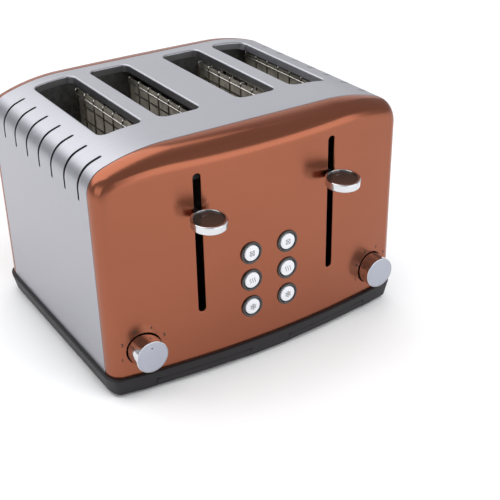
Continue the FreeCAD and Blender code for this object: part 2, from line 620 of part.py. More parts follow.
def lever(side, sign):
    """Carriage on its rod, two bread racks and the lever with its knob."""
    middle = "(%d * sizes.lever_x)" % sign
    block = box("carriage_block_" + side, ("%s - 32" % middle, "%s - 5" % ROD_Y, "%s - 9" % RACK_Z),
                ("64", "10", "18"))
    arm = box("lever_arm_" + side, ("%s - 2.4" % middle, "%s + 6" % KNOB_Y, "%s - 2.6" % KNOB_Z),
              ("4.8", "%s - %s - 10.5" % (ROD_Y, KNOB_Y), "5.2"))
    keeper = box("keeper_%s" % side, ("%s + 8" % middle, "%s - 5" % ROD_Y, "%s - 11" % RACK_Z),
                 ("16", "10", "2.5"))
    rod_hole = cylinder("rod_hole_" + side, (middle, ROD_Y, "%s - 12" % RACK_Z),
                        "sizes.rod_radius + 0.1", "30")
    subpart(cut("carriage_shape_" + side, fuse("carriage_solid_" + side, [block, arm, keeper]), [rod_hole]),
            "carriage_" + side)
    wires = []
    for near in (-1, 1):
        x = "(%s + %d * (sizes.slot_gap + sizes.slot_width) / 2)" % (middle, near)
        name = "rack_%s_%d" % (side, near + 1)
        wires.append(box(name + "_arm", ("%s - 1.5" % x, "%s + 5" % ROD_Y, "%s - 2.5" % RACK_Z),
                         ("3", "%s - %s - 1.5" % (REAR_BULKHEAD, ROD_Y), "5")))
        for edge in (-1, 1):
            start = ("%s + %d * 8" % (x, edge), "%s + 3" % SLOT_START, RACK_Z)
            wires.append(cylinder("%s_rail_%d" % (name, edge + 1), start, "sizes.wire / 2",
                                  "sizes.slot_length - 6", "Y"))
        for bar in range(8):
            y = "(%s + 4 + %d * (sizes.slot_length - 8) / 7)" % (SLOT_START, bar)
            wires.append(cylinder("%s_bar_%d" % (name, bar), ("%s - 8" % x, y, RACK_Z),
                                  "sizes.wire / 2", "16", "X"))
    subpart(group("racks_" + side, [fuse("rack_half_%s_%d" % (side, n), wires[n * 11:n * 11 + 11])
                                    for n in (0, 1)]), "bread_rack_" + side)
    knob = new_body("knob_" + side)
    ring = body_sketch(knob, "knob_section_" + side, "XZ")
    half = "(sizes.knob_height / 2)"
    inner = "(sizes.knob_radius - 2.2)"
    edge = "0.9"
    outer_line = "(sizes.knob_radius - %s)" % edge
    draw_loop(ring, [(inner, "-" + half), (outer_line, "-" + half),
                     ("sizes.knob_radius", "%s - %s" % (edge, half)),
                     ("sizes.knob_radius", "%s - %s" % (half, edge)), (outer_line, half), (inner, half)],
              {1: edge, 3: edge})
    revolve(knob, ring, "knob_ring_" + side, "Z")
    tilted(knob, middle, KNOB_Y, KNOB_Z)
    doc.recompute()
    neck_low = "%s - 2.6" % KNOB_Z
    neck_size = ("4.8", "12", "5.2")
    neck_hole = box("neck_hole_" + side, ("%s - 2.4" % middle, "%s + 5" % KNOB_Y, neck_low), neck_size)
    subpart(cut("knob_shape_" + side, knob, [neck_hole]), "lever_knob_" + side)
    disc = cylinder("knob_disc_" + side, ("0", "0", "0"), inner, "sizes.knob_height - 2")
    sunk = "(%s - 1)" % half
    tilted(disc, middle, "%s + %s * sin(sizes.knob_tilt)" % (KNOB_Y, sunk),
           "%s - %s * cos(sizes.knob_tilt)" % (KNOB_Z, sunk))
    tang = box("tang_hole_" + side, ("%s - 2.4" % middle, "%s + 5.9" % KNOB_Y, neck_low), neck_size)
    subpart(cut("inset_shape_" + side, disc, [tang]), "lever_inset_" + side)


def tilted(thing, x, y, z):
    """Places a thing that leans forward as the lever knobs do."""
    turn = FreeCAD.Rotation(FreeCAD.Vector(1, 0, 0), value("sizes.knob_tilt"))
    thing.Placement = FreeCAD.Placement(FreeCAD.Vector(), turn)
    return place(thing, x, y, z)


def guide_rods():
    pieces = []
    for side, sign in SIDES.items():
        middle = "(%d * sizes.lever_x)" % sign
        rod = cylinder("rod_" + side, (middle, ROD_Y, "%s - 1" % BULKHEAD_LOW), "sizes.rod_radius",
                       "%s - %s - 1" % (OVEN_TOP, BULKHEAD_LOW))
        brackets = [rod]
        for end, z in (("low", BULKHEAD_LOW), ("high", "%s - 6" % OVEN_TOP)):
            brackets.append(box("bracket_%s_%s" % (end, side), ("%s - 20" % middle, "%s - 6" % ROD_Y, z),
                                ("40", "%s - %s + 6" % (FRONT_BULKHEAD, ROD_Y), "2")))
        pieces.append(fuse("rod_frame_" + side, brackets))
    subpart(group("rod_frames", pieces), "guide_rods")


def lift_spring(side, sign):
    """A coil spring between the upper bracket and the carriage."""
    low = value(RACK_Z) + 9
    high = value(OVEN_TOP) - 6
    coil_radius = 3.4
    wire_radius = 0.4
    pitch = 2.6
    helix = Part.makeHelix(pitch, high - low - 2 * wire_radius, coil_radius)
    start = FreeCAD.Vector(coil_radius, 0, 0)
    ring = Part.Wire([Part.Circle(start, FreeCAD.Vector(0, 1, 0), wire_radius).toShape()])
    coil = Part.Wire(helix.Edges).makePipeShell([ring], True, True)
    spring = doc.addObject("Part::Feature", "spring_" + side)
    spring.Shape = coil
    x = sign * value("sizes.lever_x") - 13
    foot = FreeCAD.Vector(x, value(ROD_Y), low + wire_radius)
    spring.Placement = FreeCAD.Placement(foot, FreeCAD.Rotation())
    subpart(spring, "lift_spring_" + side)


def electromagnet(side, sign):
    middle = "(%d * sizes.lever_x + 16)" % sign
    low = "(%s + 8)" % PANEL_LOW
    top = "(%s - sizes.lever_travel - 11)" % RACK_Z
    foot = box("magnet_foot_" + side, ("%s - 9" % middle, "%s - 7" % ROD_Y, low),
               ("18", "%s - %s + 7" % (FRONT_BULKHEAD, ROD_Y), "2"))
    core = cylinder("magnet_core_" + side, (middle, ROD_Y, low), 3.5, "%s - %s - 0.5" % (top, low))
    coil = cylinder("magnet_coil_" + side, (middle, ROD_Y, "%s + 2" % low), 7, "%s - %s - 5" % (top, low))
    subpart(fuse("magnet_shape_" + side, [foot, core, coil]), "electromagnet_" + side)


# ---------------------------------------------------------------- controls

def buttons():
    bezels = []
    switches = []
    names = ("defrost", "reheat", "cancel")
    board_y = "(%s + 17)" % FACE_FRONT
    for side, sign in SIDES.items():
        x = "(%d * sizes.button_x)" % sign
        for row, name in enumerate(names):
            z = button_z(row)
            key = "%s_%s" % (name, side)
            flange = cylinder("flange_" + key, (x, "%s - 1.2" % FACE_FRONT, z),
                              "sizes.bezel_radius", 1.2, "Y")
            barrel = cylinder("barrel_" + key, (x, "%s - 0.5" % FACE_FRONT, z),
                              "sizes.bezel_radius - 0.7", 6, "Y")
            bore = cylinder("bezel_bore_" + key, (x, "%s - 3" % FACE_FRONT, z),
                            "sizes.cap_radius + 0.35", 12, "Y")
            bezels.append(cut("bezel_" + key, fuse("bezel_solid_" + key, [flange, barrel]), [bore]))
            cap = new_body("cap_" + key)
            section = body_sketch(cap, "cap_section_" + key, "YZ")
            front = "(-sizes.cap_proud)"
            edge = "0.8"
            draw_loop(section, [(front, "0"), ("9", "0"), ("9", "sizes.cap_radius"),
                                ("%s + %s" % (front, edge), "sizes.cap_radius"),
                                (front, "sizes.cap_radius - %s" % edge)], {3: edge})
            revolve(cap, section, "cap_turn_" + key, "Y")
            place(cap, x, FACE_FRONT, z)
            subpart(cap, "button_%s_%s" % (name, side))
            can = box("switch_can_" + key, ("%s - 3.2" % x, "%s - 3.6" % board_y, "%s - 3.2" % z),
                      ("6.4", "3.6", "6.4"))
            stem = cylinder("switch_stem_" + key, (x, "%s - 6" % board_y, z), 1.7, 3, "Y")
            switches.append(fuse("switch_" + key, [can, stem]))
    subpart(group("bezel_rings", bezels), "button_bezels")
    subpart(group("switch_cans", switches), "button_switches")
    board = box("board_plate", ("-30", board_y, "%s + 14" % PANEL_LOW), ("60", "1.6", "88"))
    subpart(board, "control_board")


def dials():
    collars = []
    pots = []
    for side, sign in SIDES.items():
        x = "(%d * sizes.dial_x)" % sign
        sag = "(%s - sqrt(%s ^ 2 - sizes.dial_x ^ 2))" % (FACE_BOW_RADIUS, FACE_BOW_RADIUS)
        front = "(%s + %s - sizes.dial_proud)" % (FACE_FRONT, sag)
        back = "(sizes.dial_proud + 5)"
        knob = new_body("dial_" + side)
        section = body_sketch(knob, "dial_section_" + side, "YZ")
        rim = "(sizes.dial_radius - 1)"
        draw_loop(section, [("1.1", "0"), ("28", "0"), ("28", "3"), ("4", "3"), ("4", rim), (back, rim),
                            (back, "sizes.dial_radius"), ("0.6", "sizes.dial_radius"),
                            ("0", "sizes.dial_radius - 0.6"), ("0", rim), ("1.1", rim)], {7: "0.6"})
        revolve(knob, section, "dial_turn_" + side, "Y")
        place(knob, x, front, DIAL_Z)
        subpart(knob, "dial_knob_" + side)
        face = cylinder("dial_disc_" + side, (x, "%s + 0.3" % front, DIAL_Z), rim, 0.8, "Y")
        subpart(face, "dial_face_" + side)
        plate = cylinder("collar_plate_" + side, (x, "%s + %s + 1" % (front, back), DIAL_Z),
                         "sizes.dial_radius + 3", 1.5, "Y")
        hole = cylinder("collar_hole_" + side, (x, "%s + %s - 1" % (front, back), DIAL_Z), 3.4, 6, "Y")
        collars.append(cut("collar_" + side, plate, [hole]))
        pot_front = "(%s + 24)" % front
        can = box("pot_can_" + side, ("%s - 8" % x, pot_front, "%s - 8" % DIAL_Z), ("16", "8", "16"))
        board = box("pot_board_" + side, ("%s - 10" % x, "%s + 8" % pot_front, "%s - 20" % DIAL_Z),
                    ("20", "1.6", "40"))
        well = cylinder("pot_well_" + side, (x, "%s - 1" % pot_front, DIAL_Z), 3.08, 5.4, "Y")
        pots.append(cut("pot_" + side, fuse("pot_solid_" + side, [can, board]), [well]))
    subpart(group("collar_plates", collars), "dial_collars")
    subpart(group("pot_cans", pots), "potentiometers")


def export():
    """Checks every object, then writes each sub-part to a file of its own."""
    os.makedirs("parts", exist_ok=True)
    doc.recompute()
    for thing in doc.Objects:
        if "Invalid" in thing.State or "Error" in thing.State:
            raise RuntimeError("%s didn't compute" % thing.Name)
    for thing in subparts:
        if thing.Shape.isNull() or not thing.Shape.isValid():
            raise RuntimeError("%s has no valid shape" % thing.Label)
    for thing in subparts:
        thing.Shape.exportStep("parts/%s.step" % thing.Label)


wrap_shell()
end_panel(1, "front_panel", panel_openings())
end_panel(-1, "rear_panel", [])
crumb_trays(base())
base_screws()
feet()
cord_inlet()
bulkhead("front_bulkhead", FRONT_BULKHEAD)
bulkhead("rear_bulkhead", REAR_BULKHEAD)
oven_plates()
heaters()
bread_guides()
for lever_side, lever_sign in SIDES.items():
    lever(lever_side, lever_sign)
    lift_spring(lever_side, lever_sign)
    electromagnet(lever_side, lever_sign)
guide_rods()
buttons()
dials()
export()
print(len(subparts), "sub-parts")
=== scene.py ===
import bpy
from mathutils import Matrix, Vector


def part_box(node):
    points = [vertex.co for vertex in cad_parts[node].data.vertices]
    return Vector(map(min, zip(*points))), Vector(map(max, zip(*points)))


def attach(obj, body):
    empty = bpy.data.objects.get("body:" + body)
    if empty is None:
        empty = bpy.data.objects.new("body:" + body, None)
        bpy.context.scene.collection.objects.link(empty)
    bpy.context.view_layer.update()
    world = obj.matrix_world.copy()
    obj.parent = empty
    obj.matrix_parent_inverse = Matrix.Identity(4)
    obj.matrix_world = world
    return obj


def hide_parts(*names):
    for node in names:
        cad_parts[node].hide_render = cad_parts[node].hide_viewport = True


bl_info = {
    "name": "Pop Up Toaster",
    "version": (1, 0, 0),
    "blender": (4, 5, 0),
    "location": "3D View > Sidebar > Toaster",
    "description": "A four slice toaster with copper panels, a silver wrap and a charcoal base",
    "category": "Add Mesh",
}

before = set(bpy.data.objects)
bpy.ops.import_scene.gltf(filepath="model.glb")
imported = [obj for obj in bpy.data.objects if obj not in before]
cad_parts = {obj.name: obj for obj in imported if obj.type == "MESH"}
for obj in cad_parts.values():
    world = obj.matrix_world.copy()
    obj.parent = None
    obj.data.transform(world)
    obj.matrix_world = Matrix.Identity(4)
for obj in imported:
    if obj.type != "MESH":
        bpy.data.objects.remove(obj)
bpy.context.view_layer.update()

import math

import bmesh
import bpy
import numpy as np
from bpy.props import FloatProperty, FloatVectorProperty, IntProperty, PointerProperty
from mathutils import Matrix, Vector
from mathutils.geometry import delaunay_2d_cdt

MM = 0.001
SIDES = ("left", "right")
BUTTONS = ("defrost", "reheat", "cancel")
FORWARDS, UPWARDS = (0, -1, 0), (0, 0, 1)


# ------------------------------------------------------------ places from the frame

def low(node):
    """The low corner of a node's box."""
    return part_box(node)[0]


def high(node):
    """The high corner of a node's box."""
    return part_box(node)[1]


def middle(node):
    """The middle of a node's box."""
    lowest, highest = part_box(node)
    return (lowest + highest) / 2


CASE_FOOT = low("front_panel").z
CASE_TOP = high("front_panel").z
CASE_SIDE = high("wrap_shell").x
FACE_FRONT = low("front_panel").y
FRONT_SEAM = high("front_panel").y
WRAP_FRONT = low("wrap_shell").y
WRAP_REAR = high("wrap_shell").y
MIRROR_Y = (FACE_FRONT + high("rear_panel").y) / 2
FACE_BOW = 12.4 * MM
FACE_HALF = 138 * MM
BOW_RADIUS = (FACE_HALF ** 2 + FACE_BOW ** 2) / (2 * FACE_BOW)
CREASE_Y = FACE_FRONT + FACE_BOW
BASE_PROUD = 2.7 * MM
BASE_BOW = CREASE_Y - BASE_PROUD + math.sqrt(BOW_RADIUS ** 2 - (FACE_HALF + BASE_PROUD) ** 2)
TRAY_GAP = 0.4 * MM
TRAY_INNER = low("tray_front_right").x - TRAY_GAP
TRAY_OUTER = high("tray_front_right").x + TRAY_GAP
TRAY_TOP = high("tray_front_right").z
CREASE_OUTLINE = (80 * MM, 175.2 * MM, 190 * MM, 15 * MM, FACE_HALF)
SEAM_OUTLINE = (76 * MM, CASE_TOP - CASE_FOOT, 165 * MM, 20.7 * MM, CASE_SIDE)
LEVER_SLOT = (CASE_FOOT + 43.7 * MM, CASE_FOOT + 166.5 * MM, 6.5 * MM)
BUTTON_HOLE = 9.3 * MM
SLOT_CENTRES = (-90.85 * MM, -37.15 * MM, 37.15 * MM, 90.85 * MM)
SLOT_HALF, SLOT_CORNER = 18.75 * MM, 7 * MM
SLOT_ENDS = (CREASE_Y + 58.3 * MM, CREASE_Y + 194.3 * MM)
VENT_INNER, VENT_FOOT = 122.5 * MM, CASE_TOP - 38 * MM
VENT_ROWS = [CREASE_Y + (29 + 25 * row) * MM for row in range(7)]
SCREW_HEAD = 3.1 * MM


# ------------------------------------------------------------ settings

def length(name, note, millimetres):
    """A setting in metres, from its default in millimetres."""
    return FloatProperty(name=name, description=note, default=millimetres * MM, min=0, unit="LENGTH",
                         subtype="DISTANCE", precision=5)


def colour(name, note, red, green, blue):
    """A colour setting."""
    return FloatVectorProperty(name=name, description=note, default=(red, green, blue), size=3,
                               min=0, max=1, subtype="COLOR")


class ToasterCaseSettings(bpy.types.PropertyGroup):
    gauge: length("Sheet gauge", "Thickness of the case's sheet metal", 0.7)
    crease: length("Crease length", "How far the soft crease reaches each way", 4.0)
    seam_edge: length("Seam edge", "Radius of the folded edges at the seams", 0.35)
    seam_fold: length("Seam fold", "Depth of the folded edges at the seams", 5.0)
    hole_edge: length("Hole edge", "Radius of the pressed edges of the panel's holes", 0.8)
    slot_edge: length("Bread slot edge", "Radius of the turned down edges of the bread slots", 1.6)
    slot_fold: length("Bread slot fold", "Depth of the bread slots' turned down edges", 7.0)


class ToasterBaseSettings(bpy.types.PropertyGroup):
    wall: length("Wall", "Thickness of the base moulding", 2.0)
    top_edge: length("Top edge", "Radius of the base's upper edge", 1.2)
    low_edge: length("Lower edge", "Radius of the base's lower edge", 1.0)
    taper: FloatProperty(name="Taper", description="Slope of the base's sides", default=math.radians(13),
                         subtype="ANGLE", unit="ROTATION")


class ToasterControlSettings(bpy.types.PropertyGroup):
    knob_tilt: FloatProperty(name="Knob tilt", description="How far the lever knobs lean forwards",
                             default=math.radians(5), subtype="ANGLE", unit="ROTATION")
    knob_height: length("Knob height", "Height of the lever knobs' rings", 6.8)
    knob_wall: length("Knob wall", "Thickness of the lever knobs' rings", 2.2)
    disc_sink: length("Disc sink", "How far the knobs' discs are sunk", 1.3)
    number_height: length("Number height", "Height of the numbers round the dials", 2.6)
    number_radius: length("Number radius", "From a dial's middle to its numbers", 19.5)
    number_start: FloatProperty(name="First number", description="Where the number one stands",
                                default=math.radians(198), subtype="ANGLE", unit="ROTATION")
    number_step: FloatProperty(name="Number step", description="Angle between numbers",
                               default=math.radians(43), subtype="ANGLE", unit="ROTATION")


class ToasterWireSettings(bpy.types.PropertyGroup):
    guide_wire: length("Guide wire", "Diameter of the bread guides' wire", 1.8)
    guide_bars: IntProperty(name="Guide bars", description="Upright wires in a bread guide", default=8, min=2)
    ribbon_turns: IntProperty(name="Ribbon turns", description="Turns of heater ribbon on a board",
                              default=9, min=1)


class ToasterFinishSettings(bpy.types.PropertyGroup):
    copper: colour("Copper", "Brushed copper of the end panels", 0.30, 0.102, 0.058)
    silver: colour("Silver", "Brushed steel of the wrap", 0.385, 0.385, 0.415)
    chrome: colour("Chrome", "Bright plating of the rings and dials", 0.64, 0.65, 0.67)
    charcoal: colour("Charcoal", "Moulded plastic of the base", 0.012, 0.0105, 0.012)
    cap: colour("Cap", "Plastic of the button caps", 0.66, 0.67, 0.70)
    mica: colour("Mica", "Heater boards", 0.56, 0.52, 0.44)


# ------------------------------------------------------------ node trees

def socket(tree, name, kind, default=None, output=False):
    made = tree.interface.new_socket(name, in_out="OUTPUT" if output else "INPUT", socket_type=kind)
    if default is not None:
        made.default_value = default
    return made


def node(tree, kind, settings=None, inputs=None, links=None):
    """A node with its settings, plain input values and linked inputs."""
    made = tree.nodes.new(kind)
    for key, value in (settings or {}).items():
        setattr(made, key, value)
    for key, value in (inputs or {}).items():
        made.inputs[key].default_value = value
    for key, source in (links or {}).items():
        tree.links.new(source, made.inputs[key])
    return made


def math_node(tree, operation, first, second):
    """A sum or product of two sockets, or of a socket and a number."""
    links = {place: value for place, value in enumerate((first, second))
             if isinstance(value, bpy.types.NodeSocket)}
    inputs = {} if 1 in links else {1: second}
    return node(tree, "ShaderNodeMath", {"operation": operation}, inputs, links).outputs[0]


def group_tree(name, inputs, outputs):
    """A shader group with its sockets, and its two end nodes."""
    tree = bpy.data.node_groups.new(name, "ShaderNodeTree")
    for key, (kind, default) in inputs.items():
        socket(tree, key, kind, default)
    for key in outputs:
        socket(tree, key, "NodeSocketFloat", output=True)
    return tree, tree.nodes.new("NodeGroupInput"), tree.nodes.new("NodeGroupOutput")


def brushed_grain():
    """Fine lines drawn out along one axis, with a broader unevenness under them."""
    tree, source, result = group_tree(
        "brushed_grain",
        {"Vector": ("NodeSocketVector", None), "Line Scale": ("NodeSocketVector", (6, 6, 900)),
         "Cloud Scale": ("NodeSocketFloat", 9.0)},
        ("Lines", "Cloud"))
    stretched = node(tree, "ShaderNodeVectorMath", {"operation": "MULTIPLY"},
                     links={0: source.outputs["Vector"], 1: source.outputs["Line Scale"]})
    lines = node(tree, "ShaderNodeTexNoise", inputs={"Scale": 1.0, "Detail": 3.0, "Roughness": 0.65},
                 links={"Vector": stretched.outputs[0]})
    cloud = node(tree, "ShaderNodeTexNoise", inputs={"Detail": 2.0, "Roughness": 0.5},
                 links={"Vector": source.outputs["Vector"], "Scale": source.outputs["Cloud Scale"]})
    tree.links.new(lines.outputs["Fac"], result.inputs["Lines"])
    tree.links.new(cloud.outputs["Fac"], result.inputs["Cloud"])
    return tree


def moulded_grain():
    """Fine pits of a moulded or pressed surface, with a broad handled unevenness."""
    tree, source, result = group_tree(
        "moulded_grain",
        {"Vector": ("NodeSocketVector", None), "Pit Scale": ("NodeSocketFloat", 1400.0),
         "Cloud Scale": ("NodeSocketFloat", 30.0)},
        ("Pits", "Cloud"))
    pits = node(tree, "ShaderNodeTexVoronoi", {"feature": "SMOOTH_F1"}, {"Smoothness": 0.6},
                {"Vector": source.outputs["Vector"], "Scale": source.outputs["Pit Scale"]})
    cloud = node(tree, "ShaderNodeTexNoise", inputs={"Detail": 4.0, "Roughness": 0.6},
                 links={"Vector": source.outputs["Vector"], "Scale": source.outputs["Cloud Scale"]})
    tree.links.new(pits.outputs["Distance"], result.inputs["Pits"])
    tree.links.new(cloud.outputs["Fac"], result.inputs["Cloud"])
    return tree


GROUPS = {}


def shared_group(make):
    """A node group, made the first time that it is asked for."""
    if make.__name__ not in GROUPS:
        GROUPS[make.__name__] = make()
    return GROUPS[make.__name__]


def finish_material(name, colours, roughness, scales, metallic=0.0, mix=(0.3, 0.7), relief=0.0,
                    relief_depth=0.00002, constants=None, tangent=None):
    """A Principled material whose colour and roughness follow a shared grain group.
    colours and roughness are (value where the mask is low, value where it is high); scales are
    the group's fine scale, three numbers for a brushed finish, and its cloud scale."""
    material = bpy.data.materials.new(name)
    material.use_nodes = True
    tree = material.node_tree
    tree.nodes.clear()
    shader = node(tree, "ShaderNodeBsdfPrincipled", inputs={"Metallic": metallic, **(constants or {})})
    output = node(tree, "ShaderNodeOutputMaterial", links={"Surface": shader.outputs[0]})
    output.is_active_output = True
    place = tree.nodes.new("ShaderNodeTexCoord").outputs["Object"]
    group = shared_group(brushed_grain if isinstance(scales[0], tuple) else moulded_grain)
    grain = node(tree, "ShaderNodeGroup", {"node_tree": group}, {1: scales[0], 2: scales[1]}, {0: place})
    fine, cloud = grain.outputs
    fine_part = math_node(tree, "MULTIPLY", fine, mix[0])
    broad_part = math_node(tree, "MULTIPLY", cloud, mix[1])
    mask = math_node(tree, "ADD", fine_part, broad_part)

    def spread(lowest, highest):
        inputs = {"From Min": 0.3, "From Max": 0.7, "To Min": lowest, "To Max": highest}
        return node(tree, "ShaderNodeMapRange", inputs=inputs, links={"Value": mask}).outputs[0]

    tint = node(tree, "ShaderNodeMix", {"data_type": "RGBA"}, {6: (*colours[0], 1), 7: (*colours[1], 1)},
                {0: spread(0.0, 1.0)})
    tree.links.new(tint.outputs[2], shader.inputs["Base Color"])
    tree.links.new(spread(*roughness), shader.inputs["Roughness"])
    if relief:
        bump = node(tree, "ShaderNodeBump", inputs={"Strength": relief, "Distance": relief_depth},
                    links={"Height": fine})
        tree.links.new(bump.outputs["Normal"], shader.inputs["Normal"])
    if tangent:
        axis = node(tree, "ShaderNodeTangent", {"direction_type": "RADIAL", "axis": tangent})
        tree.links.new(axis.outputs[0], shader.inputs["Tangent"])
    return material


def shades(base, *shares):
    """A colour from the settings, made darker or lighter by each share."""
    return [tuple(channel * share for channel in base) for share in shares]


MATERIALS = {}


def materials():
    """Every finish of the toaster, made once."""
    if MATERIALS:
        return MATERIALS
    tones = bpy.context.scene.toaster_finish
    rows = {
        "copper": ("brushed_copper", shades(tones.copper, 0.94, 1.06), (0.19, 0.25), ((5, 5, 2200), 10.0),
                   1.0, (0.6, 0.4), 0.03, 0.00001, {"Anisotropic": 0.65, "Anisotropic Rotation": 0.25}, "Z"),
        "silver": ("brushed_silver", shades(tones.silver, 0.93, 1.06), (0.30, 0.40), ((5, 900, 5), 9.0),
                   1.0, (0.7, 0.3), 0.04, 0.00001, {"Anisotropic": 0.4}, "Y"),
        "chrome": ("bright_chrome", shades(tones.chrome, 0.97, 1), (0.03, 0.07), (300.0, 60.0),
                   1.0, (0.1, 0.9)),
        "dial_satin": ("satin_dial", ((0.39, 0.41, 0.47), (0.44, 0.46, 0.53)), (0.30, 0.40),
                       ((40, 40, 40), 60.0), 1.0, (0.4, 0.6)),
        "charcoal": ("charcoal_plastic", shades(tones.charcoal, 0.85, 1.15), (0.44, 0.56), (1600.0, 25.0),
                     0.0, (0.3, 0.7), 0.25, 0.00004, {"Specular IOR Level": 0.26}),
        "rubber": ("foot_rubber", ((0.012, 0.012, 0.012), (0.022, 0.021, 0.021)), (0.7, 0.85), (900.0, 60.0),
                   0.0, (0.3, 0.7), 0.3, 0.00005),
        "black_gloss": ("bezel_black", ((0.009, 0.008, 0.009), (0.015, 0.014, 0.015)), (0.16, 0.24),
                        (700.0, 80.0), 0.0, (0.3, 0.7), 0.0, 0.0, {"Coat Weight": 0.3}),
        "black_plastic": ("black_plastic", ((0.010, 0.010, 0.010), (0.018, 0.018, 0.018)), (0.45, 0.6),
                          (900.0, 60.0), 0.0, (0.3, 0.7), 0.2, 0.00004),
        "brown_plastic": ("lever_disc_brown", ((0.026, 0.018, 0.015), (0.036, 0.026, 0.022)), (0.14, 0.20),
                          (1200.0, 60.0), 0.0, (0.1, 0.9)),
        "cap_plastic": ("cap_plastic", shades(tones.cap, 0.96, 1), (0.28, 0.36), (900.0, 120.0)),
        "print": ("dark_print", ((0.010, 0.009, 0.008), (0.018, 0.016, 0.014)), (0.5, 0.6), (900.0, 200.0)),
        "cap_print": ("grey_print", ((0.10, 0.10, 0.11), (0.15, 0.15, 0.16)), (0.4, 0.5), (900.0, 200.0)),
        "zinc_steel": ("plated_sheet", ((0.16, 0.165, 0.17), (0.26, 0.265, 0.27)), (0.38, 0.55),
                       (260.0, 40.0), 1.0, (0.5, 0.5), 0.05),
        "spring_steel": ("spring_steel", ((0.32, 0.32, 0.33), (0.42, 0.42, 0.43)), (0.25, 0.35),
                         (500.0, 200.0), 1.0),
        "guide_wire": ("heat_toned_wire", ((0.13, 0.105, 0.08), (0.42, 0.38, 0.33)), (0.22, 0.40),
                       (200.0, 45.0), 1.0),
        "pale_wire": ("bright_wire", ((0.55, 0.52, 0.48), (0.75, 0.72, 0.68)), (0.18, 0.30),
                      (200.0, 45.0), 1.0),
        "mica": ("mica_board", shades(tones.mica, 0.72, 1.25), (0.50, 0.68), (120.0, 35.0), 0.0, (0.5, 0.5),
                 0.15, 0.0001),
        "heater_ribbon": ("heater_ribbon", ((0.10, 0.085, 0.075), (0.20, 0.17, 0.15)), (0.35, 0.5),
                          (300.0, 60.0), 1.0),
        "coil_copper": ("wound_coil", ((0.42, 0.14, 0.06), (0.60, 0.24, 0.11)), (0.3, 0.45),
                        ((10, 10, 2600), 60.0), 1.0, (0.8, 0.2)),
        "circuit_board": ("circuit_board", ((0.035, 0.075, 0.030), (0.060, 0.110, 0.045)), (0.35, 0.5),
                          (350.0, 80.0)),
    }
    MATERIALS.update({key: finish_material(*row) for key, row in rows.items()})
    return MATERIALS


def new_piece(mesh, material=None):
    """An object that carries the mesh's name, in the scene and painted."""
    piece = bpy.data.objects.new(mesh.name, mesh)
    bpy.context.scene.collection.objects.link(piece)
    if material:
        mesh.materials.append(materials()[material])
    return piece


# ------------------------------------------------------------ sheets of metal and plastic

class Skin:
    """The outer side of a sheet: points with their normals, and faces over them."""

    def __init__(self):
        self.points, self.normals, self.faces = [], [], []

    def add(self, points, normals):
        """Adds points and returns their numbers."""
        start = len(self.points)
        self.points += np.asarray(points, float).reshape(-1, 3).tolist()
        self.normals += np.asarray(normals, float).reshape(-1, 3).tolist()
        return list(range(start, len(self.points)))

    def strip(self, first, second):
        """Faces between two closed rows of points."""
        for index in range(len(first)):
            following = (index + 1) % len(first)
            self.faces.append([first[index], first[following], second[following], second[index]])

    def grid(self, points, normals, keep=None):
        """Faces over a grid of points, rows by columns; keep says which cells stay."""
        rows, columns = points.shape[:2]
        numbers = self.add(points, normals)
        for row in range(rows - 1):
            for column in range(columns - 1):
                if keep is None or keep(row, column):
                    first = row * columns + column
                    corners = (first, first + columns, first + columns + 1, first + 1)
                    self.faces.append([numbers[corner] for corner in corners])

    def turned(self, change):
        """The same skin with its points and normals mirrored, and its faces turned over."""
        made = Skin()
        made.add(*change(np.array(self.points), np.array(self.normals)))
        made.faces = [face[::-1] for face in self.faces]
        return made

    def welded(self):
        """Joins points that are in the same place, to a thousandth of a millimetre."""
        first_there = {}
        target = [first_there.setdefault(tuple(round(value * 1e6) for value in point), index)
                  for index, point in enumerate(self.points)]
        faces = [list(dict.fromkeys(target[corner] for corner in face)) for face in self.faces]
        self.faces = [face for face in faces if len(face) > 2]
        return self


def build_sheet(name, skin, thickness, material):
    """A closed sheet: the skin, the same skin moved in by the thickness, and its edges."""
    used = sorted({corner for face in skin.faces for corner in face})
    renumber = {old: new for new, old in enumerate(used)}
    points, normals = np.array(skin.points)[used], unit(np.array(skin.normals)[used])
    outer = [[renumber[corner] for corner in face] for face in skin.faces]
    count = len(used)
    sides = {side for face in outer for side in zip(face, face[1:] + face[:1])}
    inner = [[corner + count for corner in reversed(face)] for face in outer]
    rims = [[second, first, first + count, second + count]
            for face in outer for first, second in zip(face, face[1:] + face[:1])
            if (second, first) not in sides]
    every_point = np.vstack([points, points - normals * thickness])
    every_normal = np.vstack([normals, -normals])
    corner_normals = [every_normal[corner] for face in outer + inner for corner in face]
    for face in rims:
        first, second, third = every_point[face[:3]]
        corner_normals += [unit(np.cross(second - first, third - first))] * len(face)
    mesh = bpy.data.meshes.new(name)
    mesh.from_pydata(every_point.tolist(), [], outer + inner + rims)
    mesh.shade_smooth()
    mesh.normals_split_custom_set(corner_normals)
    mesh.update()
    return new_piece(mesh, material)


def unit(vectors):
    """Vectors of length one in the same directions."""
    vectors = np.asarray(vectors, float)
    return vectors / np.maximum(np.linalg.norm(vectors, axis=-1, keepdims=True), 1e-12)


def grid_normals(points):
    """Normals of a grid of points from its neighbours; they point to rows x columns."""
    return unit(np.cross(np.gradient(points, axis=0), np.gradient(points, axis=1)))


def inside_outline(points, outline):
    """Which points are inside a closed outline."""
    x, y = points[:, 0], points[:, 1]
    inside = np.zeros(len(points), bool)
    for corner, previous in zip(outline, np.roll(outline, 1, axis=0)):
        crosses = (corner[1] > y) != (previous[1] > y)
        run = (previous[0] - corner[0]) * (y - corner[1]) / ((previous[1] - corner[1]) or 1e-12)
        inside ^= crosses & (x < run + corner[0])
    return inside


def distance_to(points, outline):
    """How far points are from the corners of an outline."""
    return np.min(np.linalg.norm(points[:, None, :] - outline[None, :, :], axis=2), axis=1)


